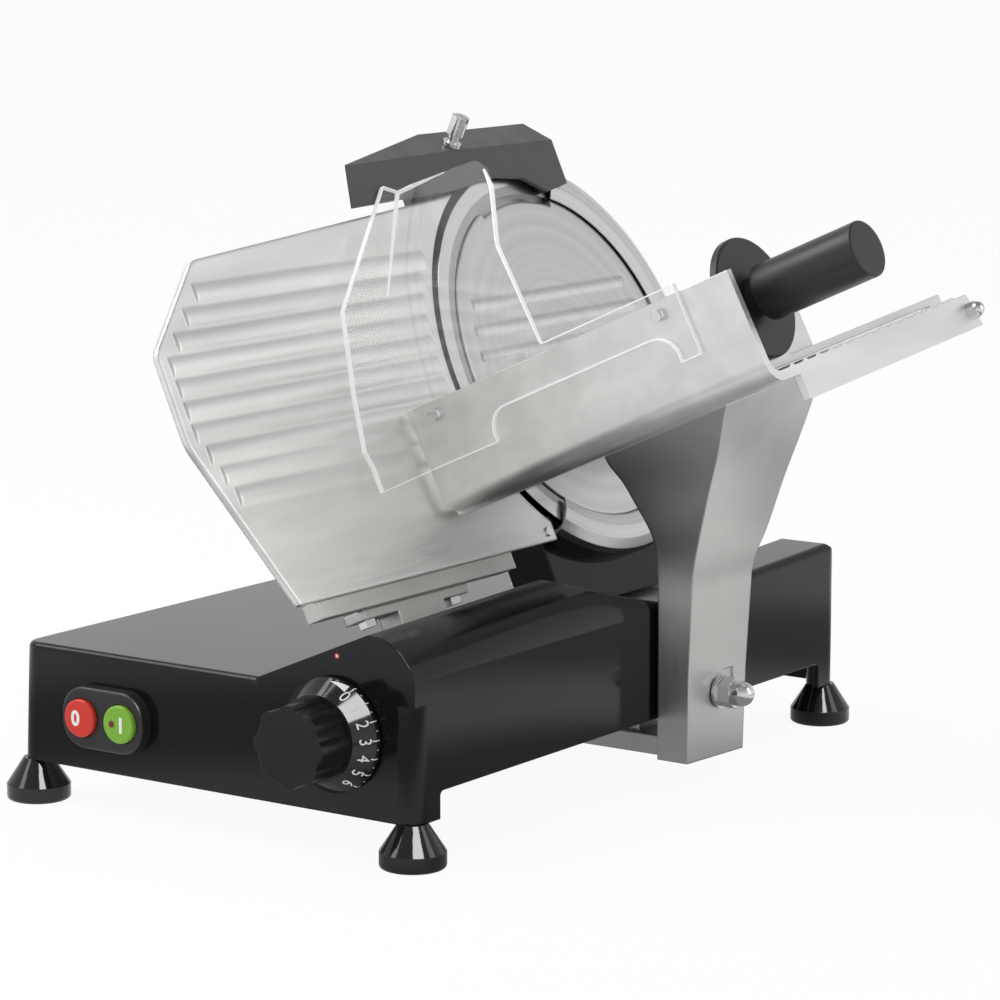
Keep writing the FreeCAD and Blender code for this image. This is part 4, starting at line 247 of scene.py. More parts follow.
class PlasticLook(bpy.types.PropertyGroup):
    """The moulded plastics and the rubber of the feet."""

    moulded: FloatVectorProperty(
        name="Moulded", description="Colour of the handle and the other plain mouldings", size=3,
        subtype="COLOR", default=(0.018, 0.018, 0.019))
    hood: FloatVectorProperty(
        name="Hood", description="Colour of the sharpener's hood", size=3,
        subtype="COLOR", default=(0.072, 0.07, 0.068))
    knob: FloatVectorProperty(
        name="Knob", description="Colour of the thickness knob's grip", size=3,
        subtype="COLOR", default=(0.009, 0.009, 0.0095))
    dial: FloatVectorProperty(
        name="Dial", description="Colour of the numbered dial", size=3,
        subtype="COLOR", default=(0.012, 0.012, 0.013))
    feet: FloatVectorProperty(
        name="Feet", description="Colour of the rubber feet", size=3,
        subtype="COLOR", default=(0.01, 0.01, 0.011))
    stop_button: FloatVectorProperty(
        name="Stop button", description="Colour of the stop button", size=3,
        subtype="COLOR", default=(0.62, 0.035, 0.022))
    start_button: FloatVectorProperty(
        name="Start button", description="Colour of the start button", size=3,
        subtype="COLOR", default=(0.19, 0.42, 0.035))


class MarkSizes(bpy.types.PropertyGroup):
    """The printed scale on the dial, the index dot and the button signs."""

    steps: IntProperty(
        name="Steps", description="Last number on the dial", default=6, min=1, max=9)
    step_angle: FloatProperty(
        name="Step angle", description="Turn of the dial from one number to the next",
        subtype="ANGLE", unit="ROTATION", default=math.radians(19.0))
    zero_angle: FloatProperty(
        name="Zero angle", description="Where the nought stands at rest, up from the right",
        subtype="ANGLE", unit="ROTATION", default=math.radians(59.0))
    digit_height: FloatProperty(
        name="Digit height", description="Height of a number on the dial",
        subtype="DISTANCE", unit="LENGTH", default=0.0062)
    tick_length: FloatProperty(
        name="Tick length", description="Length of a number's line",
        subtype="DISTANCE", unit="LENGTH", default=0.0045)
    film: FloatProperty(
        name="Paint film", description="How far a printed mark stands off its surface",
        subtype="DISTANCE", unit="LENGTH", default=0.00012)
    scale_white: FloatVectorProperty(
        name="Scale white", description="Paint of the dial's numbers and lines", size=3,
        subtype="COLOR", default=(0.82, 0.82, 0.8))
    index_red: FloatVectorProperty(
        name="Index red", description="Paint of the dot that the scale is read against", size=3,
        subtype="COLOR", default=(0.6, 0.03, 0.02))
    sign_white: FloatVectorProperty(
        name="Sign white", description="Paint of the button signs", size=3,
        subtype="COLOR", default=(0.86, 0.86, 0.84))
    lens_red: FloatVectorProperty(
        name="Lens red", description="Colour of the unlit lamp's lens", size=3,
        subtype="COLOR", default=(0.16, 0.012, 0.012))


class SlicerProps(bpy.types.PropertyGroup):
    """All the settings of the slicer's looks."""

    studio: PointerProperty(type=StudioSizes)
    enamel: PointerProperty(type=EnamelLook)
    aluminium: PointerProperty(type=AluminiumLook)
    plastics: PointerProperty(type=PlasticLook)
    marks: PointerProperty(type=MarkSizes)


# ---------------------------------------------------------------- shader maths


class Flow:
    """A shader socket that adds Math nodes when it is used in an expression."""

    def __init__(self, owner, socket):
        self.owner = owner
        self.socket = socket

    def math(self, operation, *values):
        """This socket and the values through one Math node."""
        made = self.owner.node("ShaderNodeMath", {"operation": operation},
                               dict(enumerate((self, *values))))
        return Flow(self.owner, made.outputs[0])

    def __add__(self, other):
        return self.math("ADD", other)

    def __radd__(self, other):
        return self.math("ADD", other)

    def __sub__(self, other):
        return self.math("SUBTRACT", other)

    def __rsub__(self, other):
        return (self * -1.0) + other

    def __mul__(self, other):
        return self.math("MULTIPLY", other)

    def __rmul__(self, other):
        return self.math("MULTIPLY", other)

    def root(self):
        """Square root."""
        return self.math("SQRT")

    def larger(self, other):
        """The larger of this and another."""
        return self.math("MAXIMUM", other)

    def smaller(self, other):
        """The smaller of this and another."""
        return self.math("MINIMUM", other)

    def ramp(self, low, high, low_value=0.0, high_value=1.0, kind="SMOOTHSTEP"):
        """Goes from low_value to high_value as this goes from low to high: by default smoothly,
        and with LINEAR in a straight line."""
        made = self.owner.node("ShaderNodeMapRange", {"interpolation_type": kind},
                               {0: self, 1: low, 2: high, 3: low_value, 4: high_value})
        return Flow(self.owner, made.outputs[0])


class Relief(NamedTuple):
    """A layer of bump: a height from nought to one, its depth in metres and its strength."""

    height: Flow
    depth: float
    strength: float


class Nodes:
    """The node tree of a material or a world, with its patterns written as expressions."""

    def __init__(self, owner):
        owner.use_nodes = True
        self.tree = owner.node_tree
        self.tree.nodes.clear()

    def node(self, kind, settings, inputs):
        """A node of any type: its settings, set first, and the values or links of its sockets."""
        made = self.tree.nodes.new(kind)
        for key, value in settings.items():
            setattr(made, key, value)
        for key, value in inputs.items():
            value = value.socket if isinstance(value, Flow) else value
            if isinstance(value, bpy.types.NodeSocket):
                self.tree.links.new(value, made.inputs[key])
            else:
                made.inputs[key].default_value = value
        return made

    def parts(self, vector):
        """The three numbers of a vector."""
        split = self.node("ShaderNodeSeparateXYZ", {}, {0: vector})
        return [Flow(self, out) for out in split.outputs]

    def rays(self):
        """Whether a ray comes from the camera or through glass, and whether gloss sends it."""
        path = self.node("ShaderNodeLightPath", {}, {})
        plain = Flow(self, path.outputs["Is Camera Ray"])
        return (plain.larger(path.outputs["Is Transmission Ray"]),
                Flow(self, path.outputs["Is Glossy Ray"]))

    def white_light(self, kind, strength):
        """A white Emission or Background shader."""
        return self.node(kind, {}, {"Color": WHITE, "Strength": strength}).outputs[0]

    def mix_shaders(self, share, low, high):
        """From one shader to another."""
        return self.node("ShaderNodeMixShader", {}, {0: share, 1: low, 2: high}).outputs[0]


class Finish(Nodes):
    """One material: a Principled shader whose sockets are fed by patterns."""

    def __init__(self, name, **constants):
        self.material = bpy.data.materials.new(name)
        super().__init__(self.material)
        self.shader = self.node("ShaderNodeBsdfPrincipled", {},
                                {key.replace("_", " "): value for key, value in constants.items()})
        self.end = self.node("ShaderNodeOutputMaterial", {}, {"Surface": self.shader.outputs[0]})

    def place(self, origin=(0.0, 0.0, 0.0), turn=(0.0, 0.0, 0.0), stretch=(1.0, 1.0, 1.0)):
        """Object coordinates seen from a turned frame at origin, each axis stretched."""
        coords = self.node("ShaderNodeTexCoord", {}, {})
        seen = self.node("ShaderNodeMapping", {"vector_type": "TEXTURE"},
                         {0: coords.outputs["Object"], 1: tuple(origin), 2: tuple(turn),
                          3: tuple(1.0 / share for share in stretch)})
        return Flow(self, seen.outputs[0])

    def noise(self, vector, scale, detail=2.0, roughness=0.5):
        """Noise from nought to one."""
        made = self.node("ShaderNodeTexNoise", {},
                         {"Vector": vector, "Scale": scale, "Detail": detail,
                          "Roughness": roughness})
        return Flow(self, made.outputs["Fac"])

    def line_noise(self, number, scale, detail=2.0, roughness=0.6):
        """Noise along one number, so that it runs in lines or rings."""
        made = self.node("ShaderNodeTexNoise", {"noise_dimensions": "1D"},
                         {"W": number, "Scale": scale, "Detail": detail, "Roughness": roughness})
        return Flow(self, made.outputs["Fac"])

    def radius(self, vector):
        """Distance from the x axis: the root of the sum of the squares of y and z."""
        _, y, z = self.parts(vector)
        return (y * y + z * z).root()

    def mix(self, share, low, high):
        """From one colour to another."""
        made = self.node("ShaderNodeMix", {"data_type": "RGBA"},
                         {0: share, 6: (*low, 1.0), 7: (*high, 1.0)})
        return Flow(self, made.outputs[2])

    def feed(self, **sockets):
        """Links flows to the shader's sockets."""
        for key, flow in sockets.items():
            self.tree.links.new(flow.socket, self.shader.inputs[key.replace("_", " ")])

    def bump(self, *layers, edge=0.0):
        """Stacks layers of relief into the shader's normal, over edges eased by a radius."""
        below = {}
        if edge:
            eased = self.node("ShaderNodeBevel", {"samples": 6}, {"Radius": edge})
            below["Normal"] = eased.outputs[0]
        for layer in layers:
            made = self.node("ShaderNodeBump", {},
                             {"Height": layer.height, "Distance": layer.depth,
                              "Strength": layer.strength, **below})
            below["Normal"] = made.outputs[0]
        self.tree.links.new(below["Normal"], self.shader.inputs["Normal"])


def shade(colour, factor):
    """A colour made lighter or darker by a factor."""
    return tuple(min(1.0, channel * factor) for channel in colour)


# ---------------------------------------------------------------- finishes


def black_enamel(look):
    """Gloss enamel: slight orange peel, a few duller patches where hands wipe it, and dust."""
    finish = Finish("black_gloss_enamel", IOR=1.35)
    place = finish.place()
    wiped = finish.noise(place, scale=9.0, detail=3.0)
    dust = finish.noise(place, scale=900.0).ramp(0.68, 0.8)
    peel = finish.noise(place, scale=190.0, detail=1.0)
    finish.feed(
        Base_Color=finish.mix(dust * 0.35, look.colour, shade(look.colour, 3.0)),
        Roughness=wiped.ramp(0.35, 0.75, look.roughness, look.roughness + 0.05) + dust * 0.05)
    finish.bump(Relief(peel, look.orange_peel, 0.6), edge=1.6 * MM)
    return finish.material


def anodised_plate(look, name="satin_anodised_aluminium", share=1.0, edge=0.8 * MM):
    """Extruded and anodised plate: long soft streaks along the ribs over a fine matt grain."""
    colour = shade(look.anodised, share)
    finish = Finish(name, Metallic=0.92)
    grain = finish.noise(finish.place(BLADE_CENTRE, HEAD_TURN, (1.0, 0.06, 1.0)),
                         scale=520.0, detail=3.0)
    streaks = finish.noise(finish.place(BLADE_CENTRE, HEAD_TURN, (1.0, 0.12, 1.0)),
                           scale=46.0, detail=3.0)
    cloud = finish.noise(finish.place(), scale=12.0, detail=3.0)
    finish.feed(
        Base_Color=finish.mix(streaks.ramp(0.25, 0.8), shade(colour, 0.9), shade(colour, 1.06)),
        Roughness=grain * 0.16 + streaks * 0.1 + cloud * 0.08 + 0.2)
    finish.bump(Relief(grain, 0.03 * MM, 0.55), Relief(streaks, 0.4 * MM, 0.25), edge=edge)
    return finish.material


def cast_aluminium(look):
    """Cast arm and brackets, ground with a belt: upright scratches over the skin's soft pits."""
    finish = Finish("satin_cast_aluminium", Metallic=0.95)
    scratches = finish.noise(finish.place(stretch=(1.0, 1.0, 0.035)),
                             scale=900.0, detail=3.0, roughness=0.6)
    pits = finish.noise(finish.place(), scale=420.0, detail=3.0)
    cloud = finish.noise(finish.place(), scale=16.0)
    finish.feed(
        Base_Color=finish.mix(cloud.ramp(0.3, 0.75), shade(look.cast, 0.93),
                              shade(look.cast, 1.05)),
        Roughness=scratches * 0.2 + cloud * 0.08 + 0.25)
    finish.bump(Relief(scratches, 0.04 * MM, 0.6), Relief(pits, 0.04 * MM, 0.35),
                edge=1.6 * MM)
    return finish.material


def spun_aluminium(look, name="spun_aluminium", depth=1.0, edge=0.6 * MM):
    """Turned on a lathe about the blade's axis: very fine rings, with a few deeper ones."""
    finish = Finish(name, Metallic=0.95)
    place = finish.place(BLADE_CENTRE, HEAD_TURN)
    radius = finish.radius(place)
    rings = finish.line_noise(radius, scale=2600.0, detail=3.0, roughness=0.7)
    broad = finish.line_noise(radius, scale=160.0)
    cloud = finish.noise(place, scale=10.0)
    finish.feed(
        Base_Color=finish.mix(broad.ramp(0.3, 0.7), shade(look.spun, 0.95),
                              shade(look.spun, 1.04)),
        Roughness=rings * 0.16 + cloud * 0.08 + 0.2)
    finish.bump(Relief(rings, 0.03 * MM, 0.75 * depth), Relief(broad, 0.06 * MM, 0.3 * depth),
                edge=edge)
    return finish.material


def blade_steel():
    """Ground hardened steel: rings of the grinding wheel, smoother and brighter on the bevel."""
    finish = Finish("ground_blade_steel", Metallic=1.0)
    radius = finish.radius(finish.place(BLADE_CENTRE, HEAD_TURN))
    bevel = radius.ramp(*BEVEL_STARTS)
    rings = finish.line_noise(radius, scale=3200.0, detail=3.0, roughness=0.7)
    finish.feed(
        Base_Color=finish.mix(bevel, (0.40, 0.405, 0.405), (0.72, 0.72, 0.71)),
        Roughness=rings * 0.14 - bevel * 0.06 + 0.2)
    finish.bump(Relief(rings, 0.02 * MM, 0.7))
    return finish.material


def machined_steel(name, colour, roughness, grain):
    """Turned or milled steel: fine scratches all round and slight stains."""
    finish = Finish(name, Metallic=1.0)
    scratches = finish.noise(finish.place(stretch=(1.0, 0.12, 1.0)), scale=1100.0, detail=3.0)
    stains = finish.noise(finish.place(), scale=60.0, detail=3.0)
    finish.feed(
        Base_Color=finish.mix(stains.ramp(0.3, 0.8), shade(colour, 0.88), colour),
        Roughness=scratches * grain + stains * 0.05 + roughness)
    finish.bump(Relief(scratches, 0.02 * MM, 0.4), edge=0.3 * MM)
    return finish.material


def moulded_plastic(name, colour, roughness, pebble, depth, gloss=1.46, edge=0.5 * MM):
    """Moulded plastic or rubber: an even pebbled grain, rubbed a little smoother in patches."""
    finish = Finish(name, IOR=gloss)
    place = finish.place()
    pebbles = finish.noise(place, scale=pebble, roughness=0.6)
    rubbed = finish.noise(place, scale=34.0, detail=3.0)
    finish.feed(
        Base_Color=finish.mix(pebbles.ramp(0.35, 0.7), shade(colour, 0.85), shade(colour, 1.25)),
        Roughness=rubbed.ramp(0.35, 0.7, roughness - 0.05, roughness + 0.05))
    finish.bump(Relief(pebbles, depth, 0.5), edge=edge)
    return finish.material


def clear_acrylic():
    """Polished sheet: what is behind it shows through a slight haze, with hairlines from wiping."""
    finish = Finish("clear_acrylic", Base_Color=(0.985, 0.99, 0.988, 1.0),
                    Transmission_Weight=0.9, IOR=1.45, Alpha=0.1)
    hairlines = finish.noise(finish.place(turn=HEAD_TURN, stretch=(1.0, 0.2, 1.0)),
                             scale=700.0, detail=3.0)
    finish.feed(Roughness=hairlines.ramp(0.62, 0.85, 0.015, 0.12))
    finish.bump(Relief(hairlines, 0.01 * MM, 0.1))
    return finish.material


def frosted_edge_painted_glow():
    """Sawn edge of the acrylic: frosted white, with faint saw marks, and a faint painted glow from its emission
    that stands in for the light the edge gathers.
    """
    # Painted glow: the white emission makes the sawn edge light itself, standing in for the light that it gathers.
    finish = Finish("frosted_acrylic_edge_painted_glow", IOR=1.45, Emission_Color=WHITE,
                    Emission_Strength=0.12)
    saw_marks = finish.noise(finish.place(BLADE_CENTRE, HEAD_TURN, (0.15, 1.0, 1.0)),
                             scale=1400.0)
    finish.feed(
        Base_Color=finish.mix(saw_marks.ramp(0.3, 0.75), (0.86, 0.87, 0.865),
                              (0.97, 0.975, 0.97)),
        Roughness=saw_marks * 0.2 + 0.22)
    finish.bump(Relief(saw_marks, 0.02 * MM, 0.3))
    return finish.material


def printed_paint(name, colour):
    """Screen-printed paint: a slightly uneven film."""
    finish = Finish(name)
    film = finish.noise(finish.place(), scale=800.0)
    finish.feed(
        Base_Color=finish.mix(film.ramp(0.35, 0.75), shade(colour, 0.93), colour),
        Roughness=film * 0.15 + 0.38)
    finish.bump(Relief(film, 0.01 * MM, 0.3))
    return finish.material


def bonded_grit():
    """Grinding stone: coarse grains in a matt bond."""
    finish = Finish("bonded_grit", Specular_IOR_Level=0.3)
    grains = finish.noise(finish.place(), scale=1500.0, detail=3.0, roughness=0.7)
    finish.feed(
        Base_Color=finish.mix(grains.ramp(0.35, 0.65), (0.22, 0.2, 0.18), (0.55, 0.5, 0.44)),
        Roughness=grains * 0.2 + 0.75)
    finish.bump(Relief(grains, 0.2 * MM, 0.8))
    return finish.material


def all_finishes(props):
    """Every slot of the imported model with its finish."""
    plastics = props.plastics
    return {
        "enamel": black_enamel(props.enamel),
        "anodised": anodised_plate(props.aluminium),
        "cast_satin": cast_aluminium(props.aluminium),
        "ring_satin": spun_aluminium(props.aluminium),
        "blade_steel": blade_steel(),
        "steel": machined_steel(
            "turned_steel", (0.52, 0.52, 0.53), roughness=0.22, grain=0.14),
        "bright_steel": machined_steel(
            "polished_steel", (0.72, 0.72, 0.73), roughness=0.08, grain=0.1),
        "zinc": machined_steel(
            "zinc_plate", (0.50, 0.52, 0.56), roughness=0.34, grain=0.16),
        "motor_steel": machined_steel(
            "motor_can_steel", (0.16, 0.18, 0.2), roughness=0.4, grain=0.12),
        "bronze": machined_steel(
            "sintered_bronze", (0.55, 0.38, 0.19), roughness=0.42, grain=0.2),
        "black_plastic": moulded_plastic(
            "black_moulded_plastic", plastics.moulded, 0.36, pebble=2600.0, depth=0.04 * MM),
        "dial_plastic": moulded_plastic(
            "black_dial_plastic", plastics.dial, 0.12, pebble=3000.0, depth=0.004 * MM),
        "foot_rubber": moulded_plastic(
            "black_foot_rubber", plastics.feet, 0.12, pebble=1400.0, depth=0.005 * MM),
        "belt_rubber": moulded_plastic(
            "belt_rubber", (0.02, 0.02, 0.02), 0.7, pebble=900.0, depth=0.1 * MM),
        "red_button": moulded_plastic(
            "red_button_plastic", plastics.stop_button, 0.28, pebble=2600.0, depth=0.01 * MM),
        "green_button": moulded_plastic(
            "green_button_plastic", plastics.start_button, 0.28, pebble=2600.0, depth=0.01 * MM),
        "clear_acrylic": clear_acrylic(),
        "abrasive": bonded_grit(),
    }


# ---------------------------------------------------------------- merged copies


def merged_copy(node, materials):
    """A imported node's loose triangles as one closed mesh: corners at one place are one, and a
    crease is where two faces meet at more than the crease angle."""
    shape = bmesh.new()
    shape.from_mesh(frame["nodes"][node].data)
    bmesh.ops.remove_doubles(shape, verts=shape.verts, dist=SAME_POINT)
    for face in shape.faces:
        face.smooth = True
        face.material_index = 0
    for edge in shape.edges:
        edge.smooth = (len(edge.link_faces) == 2
                       and edge.calc_face_angle(math.pi) < CREASE_ANGLE)
    mesh = bpy.data.meshes.new(f"{node}_merged")
    shape.to_mesh(mesh)
    shape.free()
    piece = bpy.data.objects.new(f"{node}_eased", mesh)
    bpy.context.scene.collection.objects.link(piece)
    for material in materials:
        mesh.materials.append(material)
    return piece


def mark_cut_edges(piece, thickness):
    """Gives the second material to the faces of a sheet's cut edge: those with clearly more than
    the sheet's thickness of material straight behind them."""
    mesh = piece.data
    tree = BVHTree.FromPolygons([vertex.co.copy() for vertex in mesh.vertices],
                                [tuple(polygon.vertices) for polygon in mesh.polygons])
    for polygon in mesh.polygons:
        inward = -polygon.normal
        behind = tree.ray_cast(polygon.center + inward * RAY_START, inward)[3]
        polygon.material_index = int(behind is None or behind > CUT_SHARE * thickness)


def flat_groups(faces):
    """The faces in groups, each of which joins up and lies in one plane."""
    waiting = {face.index: face for face in faces}
    groups = []
    while waiting:
        group = [waiting.popitem()[1]]
        for face in group:
            for other in (other for edge in face.edges for other in edge.link_faces):
                if other.index in waiting and face.normal.dot(other.normal) > SAME_PLANE:
                    group.append(waiting.pop(other.index))
        groups.append(group)
    return groups


def paint_glow_round_edges(piece, width):
    """Gives the second material, frosted white with a painted glow, to a narrow band along the cut
    edges too, on both faces of the sheet: a painted highlight that stands in for the light that an
    edge gathers and that shows through. Each flat of the sheet stays flat, and the sheet is a hair
    thinner, so that air is left between it and the wall behind it."""
    shape = bmesh.new()
    shape.from_mesh(piece.data)
    shape.faces.index_update()
    for group in flat_groups([face for face in shape.faces if face.material_index == 0]):
        band = bmesh.ops.inset_region(shape, faces=group, thickness=width,
                                      use_even_offset=False, use_boundary=True)["faces"]
        # Painted highlight: the band beside a cut edge takes the frosted edge's white and its painted glow.
        by_cut = [face for face in band if any(other.material_index == 1 for edge in face.edges
                                               for other in edge.link_faces)]
        for face in by_cut:
            face.material_index = 1
    for face in shape.faces:
        face.smooth = False
    shape.normal_update()
    for vertex in shape.verts:
        vertex.co -= vertex.normal * GUARD_AIR
    shape.to_mesh(piece.data)
    shape.free()


# ---------------------------------------------------------------- printed marks


def surface_mesh(name, points, faces, material, body, slot_name):
    """A piece from an array of points and a list of faces, at the origin, riding on a body."""
    mesh = bpy.data.meshes.new(name)
    mesh.from_pydata(points.tolist(), [], faces)
    mesh.validate()
    mesh.update()
    piece = bpy.data.objects.new(name, mesh)
    bpy.context.scene.collection.objects.link(piece)
    mesh.materials.append(material)
    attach(piece, body)


def words_as_mesh(text, height, bolder=0.0):
    """A text as a thin slab of points and faces, centred and as tall as height in the XY plane,
    with z at one in front and at minus one behind."""
    curve = bpy.data.curves.new("sign_outline", "FONT")
    curve.body = text
    curve.align_x = "CENTER"
    curve.align_y = "CENTER"
    curve.extrude = 1.0
    curve.offset = bolder
    holder = bpy.data.objects.new("sign_outline", curve)
    bpy.context.scene.collection.objects.link(holder)
    bpy.context.view_layer.update()
    drawn = holder.evaluated_get(bpy.context.evaluated_depsgraph_get())
    outline = bpy.data.meshes.new_from_object(drawn)
    points = np.empty(len(outline.vertices) * 3)
    outline.vertices.foreach_get("co", points)
    points = points.reshape(-1, 3)
    low, high = points.min(axis=0)[:2], points.max(axis=0)[:2]
    points[:, :2] = (points[:, :2] - (low + high) / 2) * height / (high[1] - low[1])
    faces = [list(polygon.vertices) for polygon in outline.polygons]
    bpy.data.objects.remove(holder)
    bpy.data.meshes.remove(outline)
    bpy.data.curves.remove(curve)
    return points, faces


def digit_on_its_side(number, height):
    """A number's slab a quarter turn clockwise, from (x, y) to (y, -x), to read round the dial."""
    points, faces = words_as_mesh(str(number), height)
    return points[:, [1, 0, 2]] * (1.0, -1.0, 1.0), faces


def slab_grid(width, height, across=8):
    """A thin slab's points and faces in the XY plane: a grid of columns with four corners each,
    spaced evenly along x, closed all round, with z at one in front and at minus one behind."""
    x = np.linspace(-width / 2, width / 2, across)
    corners = np.array([(-height / 2, -1.0), (height / 2, -1.0), (height / 2, 1.0),
                        (-height / 2, 1.0)])
    points = np.column_stack([np.repeat(x, 4), np.tile(corners, (across, 1))])
    column = np.arange(across - 1)[:, None] * 4
    corner = np.arange(4)
    after = (corner + 1) % 4
    sides = np.stack([column + corner, column + after, column + 4 + after, column + 4 + corner],
                     axis=-1)
    last = (across - 1) * 4
    ends = [[3, 2, 1, 0], [last, last + 1, last + 2, last + 3]]
    return points, sides.reshape(-1, 4).tolist() + ends


def wedge_grid(length, width, point):
    """A thin wedge along y: a slab whose width goes straight from the whole of it at the blunt
    end to the point's share of it, turned a quarter anticlockwise, from (x, y) to (-y, x)."""
    points, faces = slab_grid(length, width, WEDGE_COLUMNS)
    share = np.interp(points[:, 0], (-length / 2, length / 2), (1.0, point))
    return np.column_stack([-points[:, 1] * share, points[:, 0], points[:, 2]]), faces


def round_film(spot, radius, film, around=32):
    """A round film of paint on a face square to Y: a ring of points in front and one behind, spot
    plus radius times the cosine and sine of the angle, joined by a rim and closed by two caps."""
    turn = np.linspace(0.0, 2 * math.pi, around, endpoint=False)
    ring = np.column_stack([spot[0] + radius * np.cos(turn), np.zeros(around),
                            spot[2] + radius * np.sin(turn)])
    points = np.concatenate([ring + (0.0, spot[1] - film, 0.0), ring + (0.0, spot[1], 0.0)])
    front = np.arange(around)
    after = (front + 1) % around
    rim = np.column_stack([front + around, after + around, after, front])
    return points, rim.tolist() + [front.tolist(), (front[::-1] + around).tolist()]


def joined_surfaces(surfaces):
    """Several surfaces as one array of points and one list of faces."""
    points, faces, count = [], [], 0
    for some_points, some_faces in surfaces:
        points.append(some_points)
        faces += [[index + count for index in face] for face in some_faces]
        count += len(some_points)
    return np.concatenate(points), faces


class DialCone:
    """The dial's cone: its radius goes straight from the front circle to the rim, about an axis
    along Y."""

    def __init__(self, film):
        low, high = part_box("dial_skirt")
        self.film = film
        self.rim = (high.x - low.x) / 2
        self.front = self.rim - DIAL_CONE_RISE
        self.front_y = low.y
        self.rim_y = high.y - DIAL_RIM_WIDTH

    def laid_on(self, surface, angle, back):
        """A thin surface bent onto the cone, its middle at an angle and some way back from the
        front: x runs back along the cone, y runs round it, and z is the film's side."""
        flat, faces = surface
        y = self.front_y + back + flat[:, 0]
        share = np.clip((y - self.front_y) / (self.rim_y - self.front_y), 0, 1)
        radius = self.front + (self.rim - self.front) * share
        turn = angle + flat[:, 1] / radius
        outer = radius + self.film * (1.0 + flat[:, 2]) / 2
        points = np.column_stack([DIAL_CENTRE.x + outer * np.cos(turn), y,
                                  DIAL_CENTRE.z + outer * np.sin(turn)])
        return points, faces


# ---------------------------------------------------------------- operators


class SLICER_OT_finishes(bpy.types.Operator):
    """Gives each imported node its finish."""

    bl_idname = "slicer.finishes"
    bl_label = "Finishes"

    def execute(self, context):
        finishes = all_finishes(context.scene.slicer)
        aluminium = context.scene.slicer.aluminium
        soft_ribs = {
            "gauge_plate": anodised_plate(
                aluminium, "ribbed_anodised_aluminium", share=1.03, edge=3.2 * MM),
            "blade_cover": spun_aluminium(
                aluminium, "pressed_cover_aluminium", depth=0.12, edge=3.0 * MM),
        }
        for node, piece in frame["nodes"].items():
            material = soft_ribs.get(node, finishes[SLOT_OF[node]])
            for slot in piece.material_slots:
                slot.material = material
        return {"FINISHED"}


class SLICER_OT_eased_pieces(bpy.types.Operator):
    """Stands merged copies for the pieces with shallow bends, so that each flat stays flat up to
    its crease, and gives the hand guard its white cut edges, with a painted glow."""

    bl_idname = "slicer.eased_pieces"
    bl_label = "Eased pieces"

    def execute(self, context):
        plastics = context.scene.slicer.plastics
        materials = {node: [frame["nodes"][node].material_slots[0].material] for node in EASED}
        materials["sharpener_hood"] = [moulded_plastic(
            "satin_hood_plastic", plastics.hood, 0.44, pebble=1900.0, depth=0.05 * MM,
            edge=1.5 * MM)]
        materials["knob_grip"] = [moulded_plastic(
            "soft_touch_plastic", plastics.knob, 0.3, pebble=2600.0, depth=0.02 * MM,
            gloss=1.38, edge=0.8 * MM)]
        materials["hand_guard"].append(frosted_edge_painted_glow())
        for node in EASED:
            piece = merged_copy(node, materials[node])
            if node == "hand_guard":
                mark_cut_edges(piece, GUARD_SHEET)
                paint_glow_round_edges(piece, PAINTED_GLOW_WIDTH)
            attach(piece, BODY_OF[node])
            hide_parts(node)
        return {"FINISHED"}


class SLICER_OT_dial_scale(bpy.types.Operator):
    """Prints the numbers, lines and wedge of the slice thickness on the dial, and the index dot
    above it."""

    bl_idname = "slicer.dial_scale"
    bl_label = "Dial scale"

    def execute(self, context):
        marks = context.scene.slicer.marks
        white = printed_paint("white_scale_paint", marks.scale_white)
        red = printed_paint("red_index_paint", marks.index_red)
        cone = DialCone(marks.film)
        digits, lines = [], []
        for number in range(marks.steps + 1):
            angle = marks.zero_angle - number * marks.step_angle
            digit = digit_on_its_side(number, marks.digit_height)
            digits.append(cone.laid_on(digit, angle, DIGITS_BACK))
            line = slab_grid(marks.tick_length, LINE_WIDTH)
            lines.append(cone.laid_on(line, angle, LINES_BACK))
            if number < marks.steps:
                half_way = angle - marks.step_angle / 2
                lines.append(cone.laid_on(slab_grid(*DOT_SIZE), half_way, DOTS_BACK))
        wedge = wedge_grid(WEDGE_LENGTH, WEDGE_WIDTH, WEDGE_POINT)
        lines.append(cone.laid_on(wedge, marks.zero_angle + WEDGE_AHEAD, WEDGE_BACK))
        surface_mesh("dial_digits", *joined_surfaces(digits), white,
                     "thickness_knob", "dial_plastic")
        surface_mesh("dial_lines", *joined_surfaces(lines), white,
                     "thickness_knob", "dial_plastic")
        spot = (DIAL_CENTRE.x + INDEX_RIGHT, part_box("base_casting")[0].y,
                DIAL_CENTRE.z + INDEX_UP)
        surface_mesh("index_dot", *round_film(spot, INDEX_RADIUS, marks.film), red,
                     "base", "enamel")
        surface_mesh("index_dot_middle", *round_film(spot, INDEX_MIDDLE, marks.film * 2), white,
                     "base", "enamel")
        return {"FINISHED"}


class SLICER_OT_button_signs(bpy.types.Operator):
    """Prints the ring sign of stop and the bar sign of start on the push buttons, and lays the
    lamp's lens in the start button."""

    bl_idname = "slicer.button_signs"
    bl_label = "Button signs"

    def execute(self, context):
        marks = context.scene.slicer.marks
        white = printed_paint("white_sign_paint", marks.sign_white)
        for sign in SIGNS:
            low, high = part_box(f"{sign.body}_button")
            middle = (low + high) / 2
            flat, faces = words_as_mesh(sign.text, SIGN_HEIGHT, sign.bolder)
            placed = np.column_stack([middle.x + sign.aside + flat[:, 0],
                                      low.y - marks.film * (1.0 + flat[:, 2]) / 2,
                                      middle.z + flat[:, 1]])
            surface_mesh(f"{sign.body}_sign", placed, faces, white, sign.body, sign.slot)
        lens = printed_paint("dark_red_lens", marks.lens_red)
        low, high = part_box("start_button")
        spot = ((low.x + high.x) / 2 - LENS_LEFT, low.y, (low.z + high.z) / 2)
        surface_mesh("start_lamp", *round_film(spot, LENS_RADIUS, marks.film * 2), lens,
                     "start", "green_button")
        return {"FINISHED"}


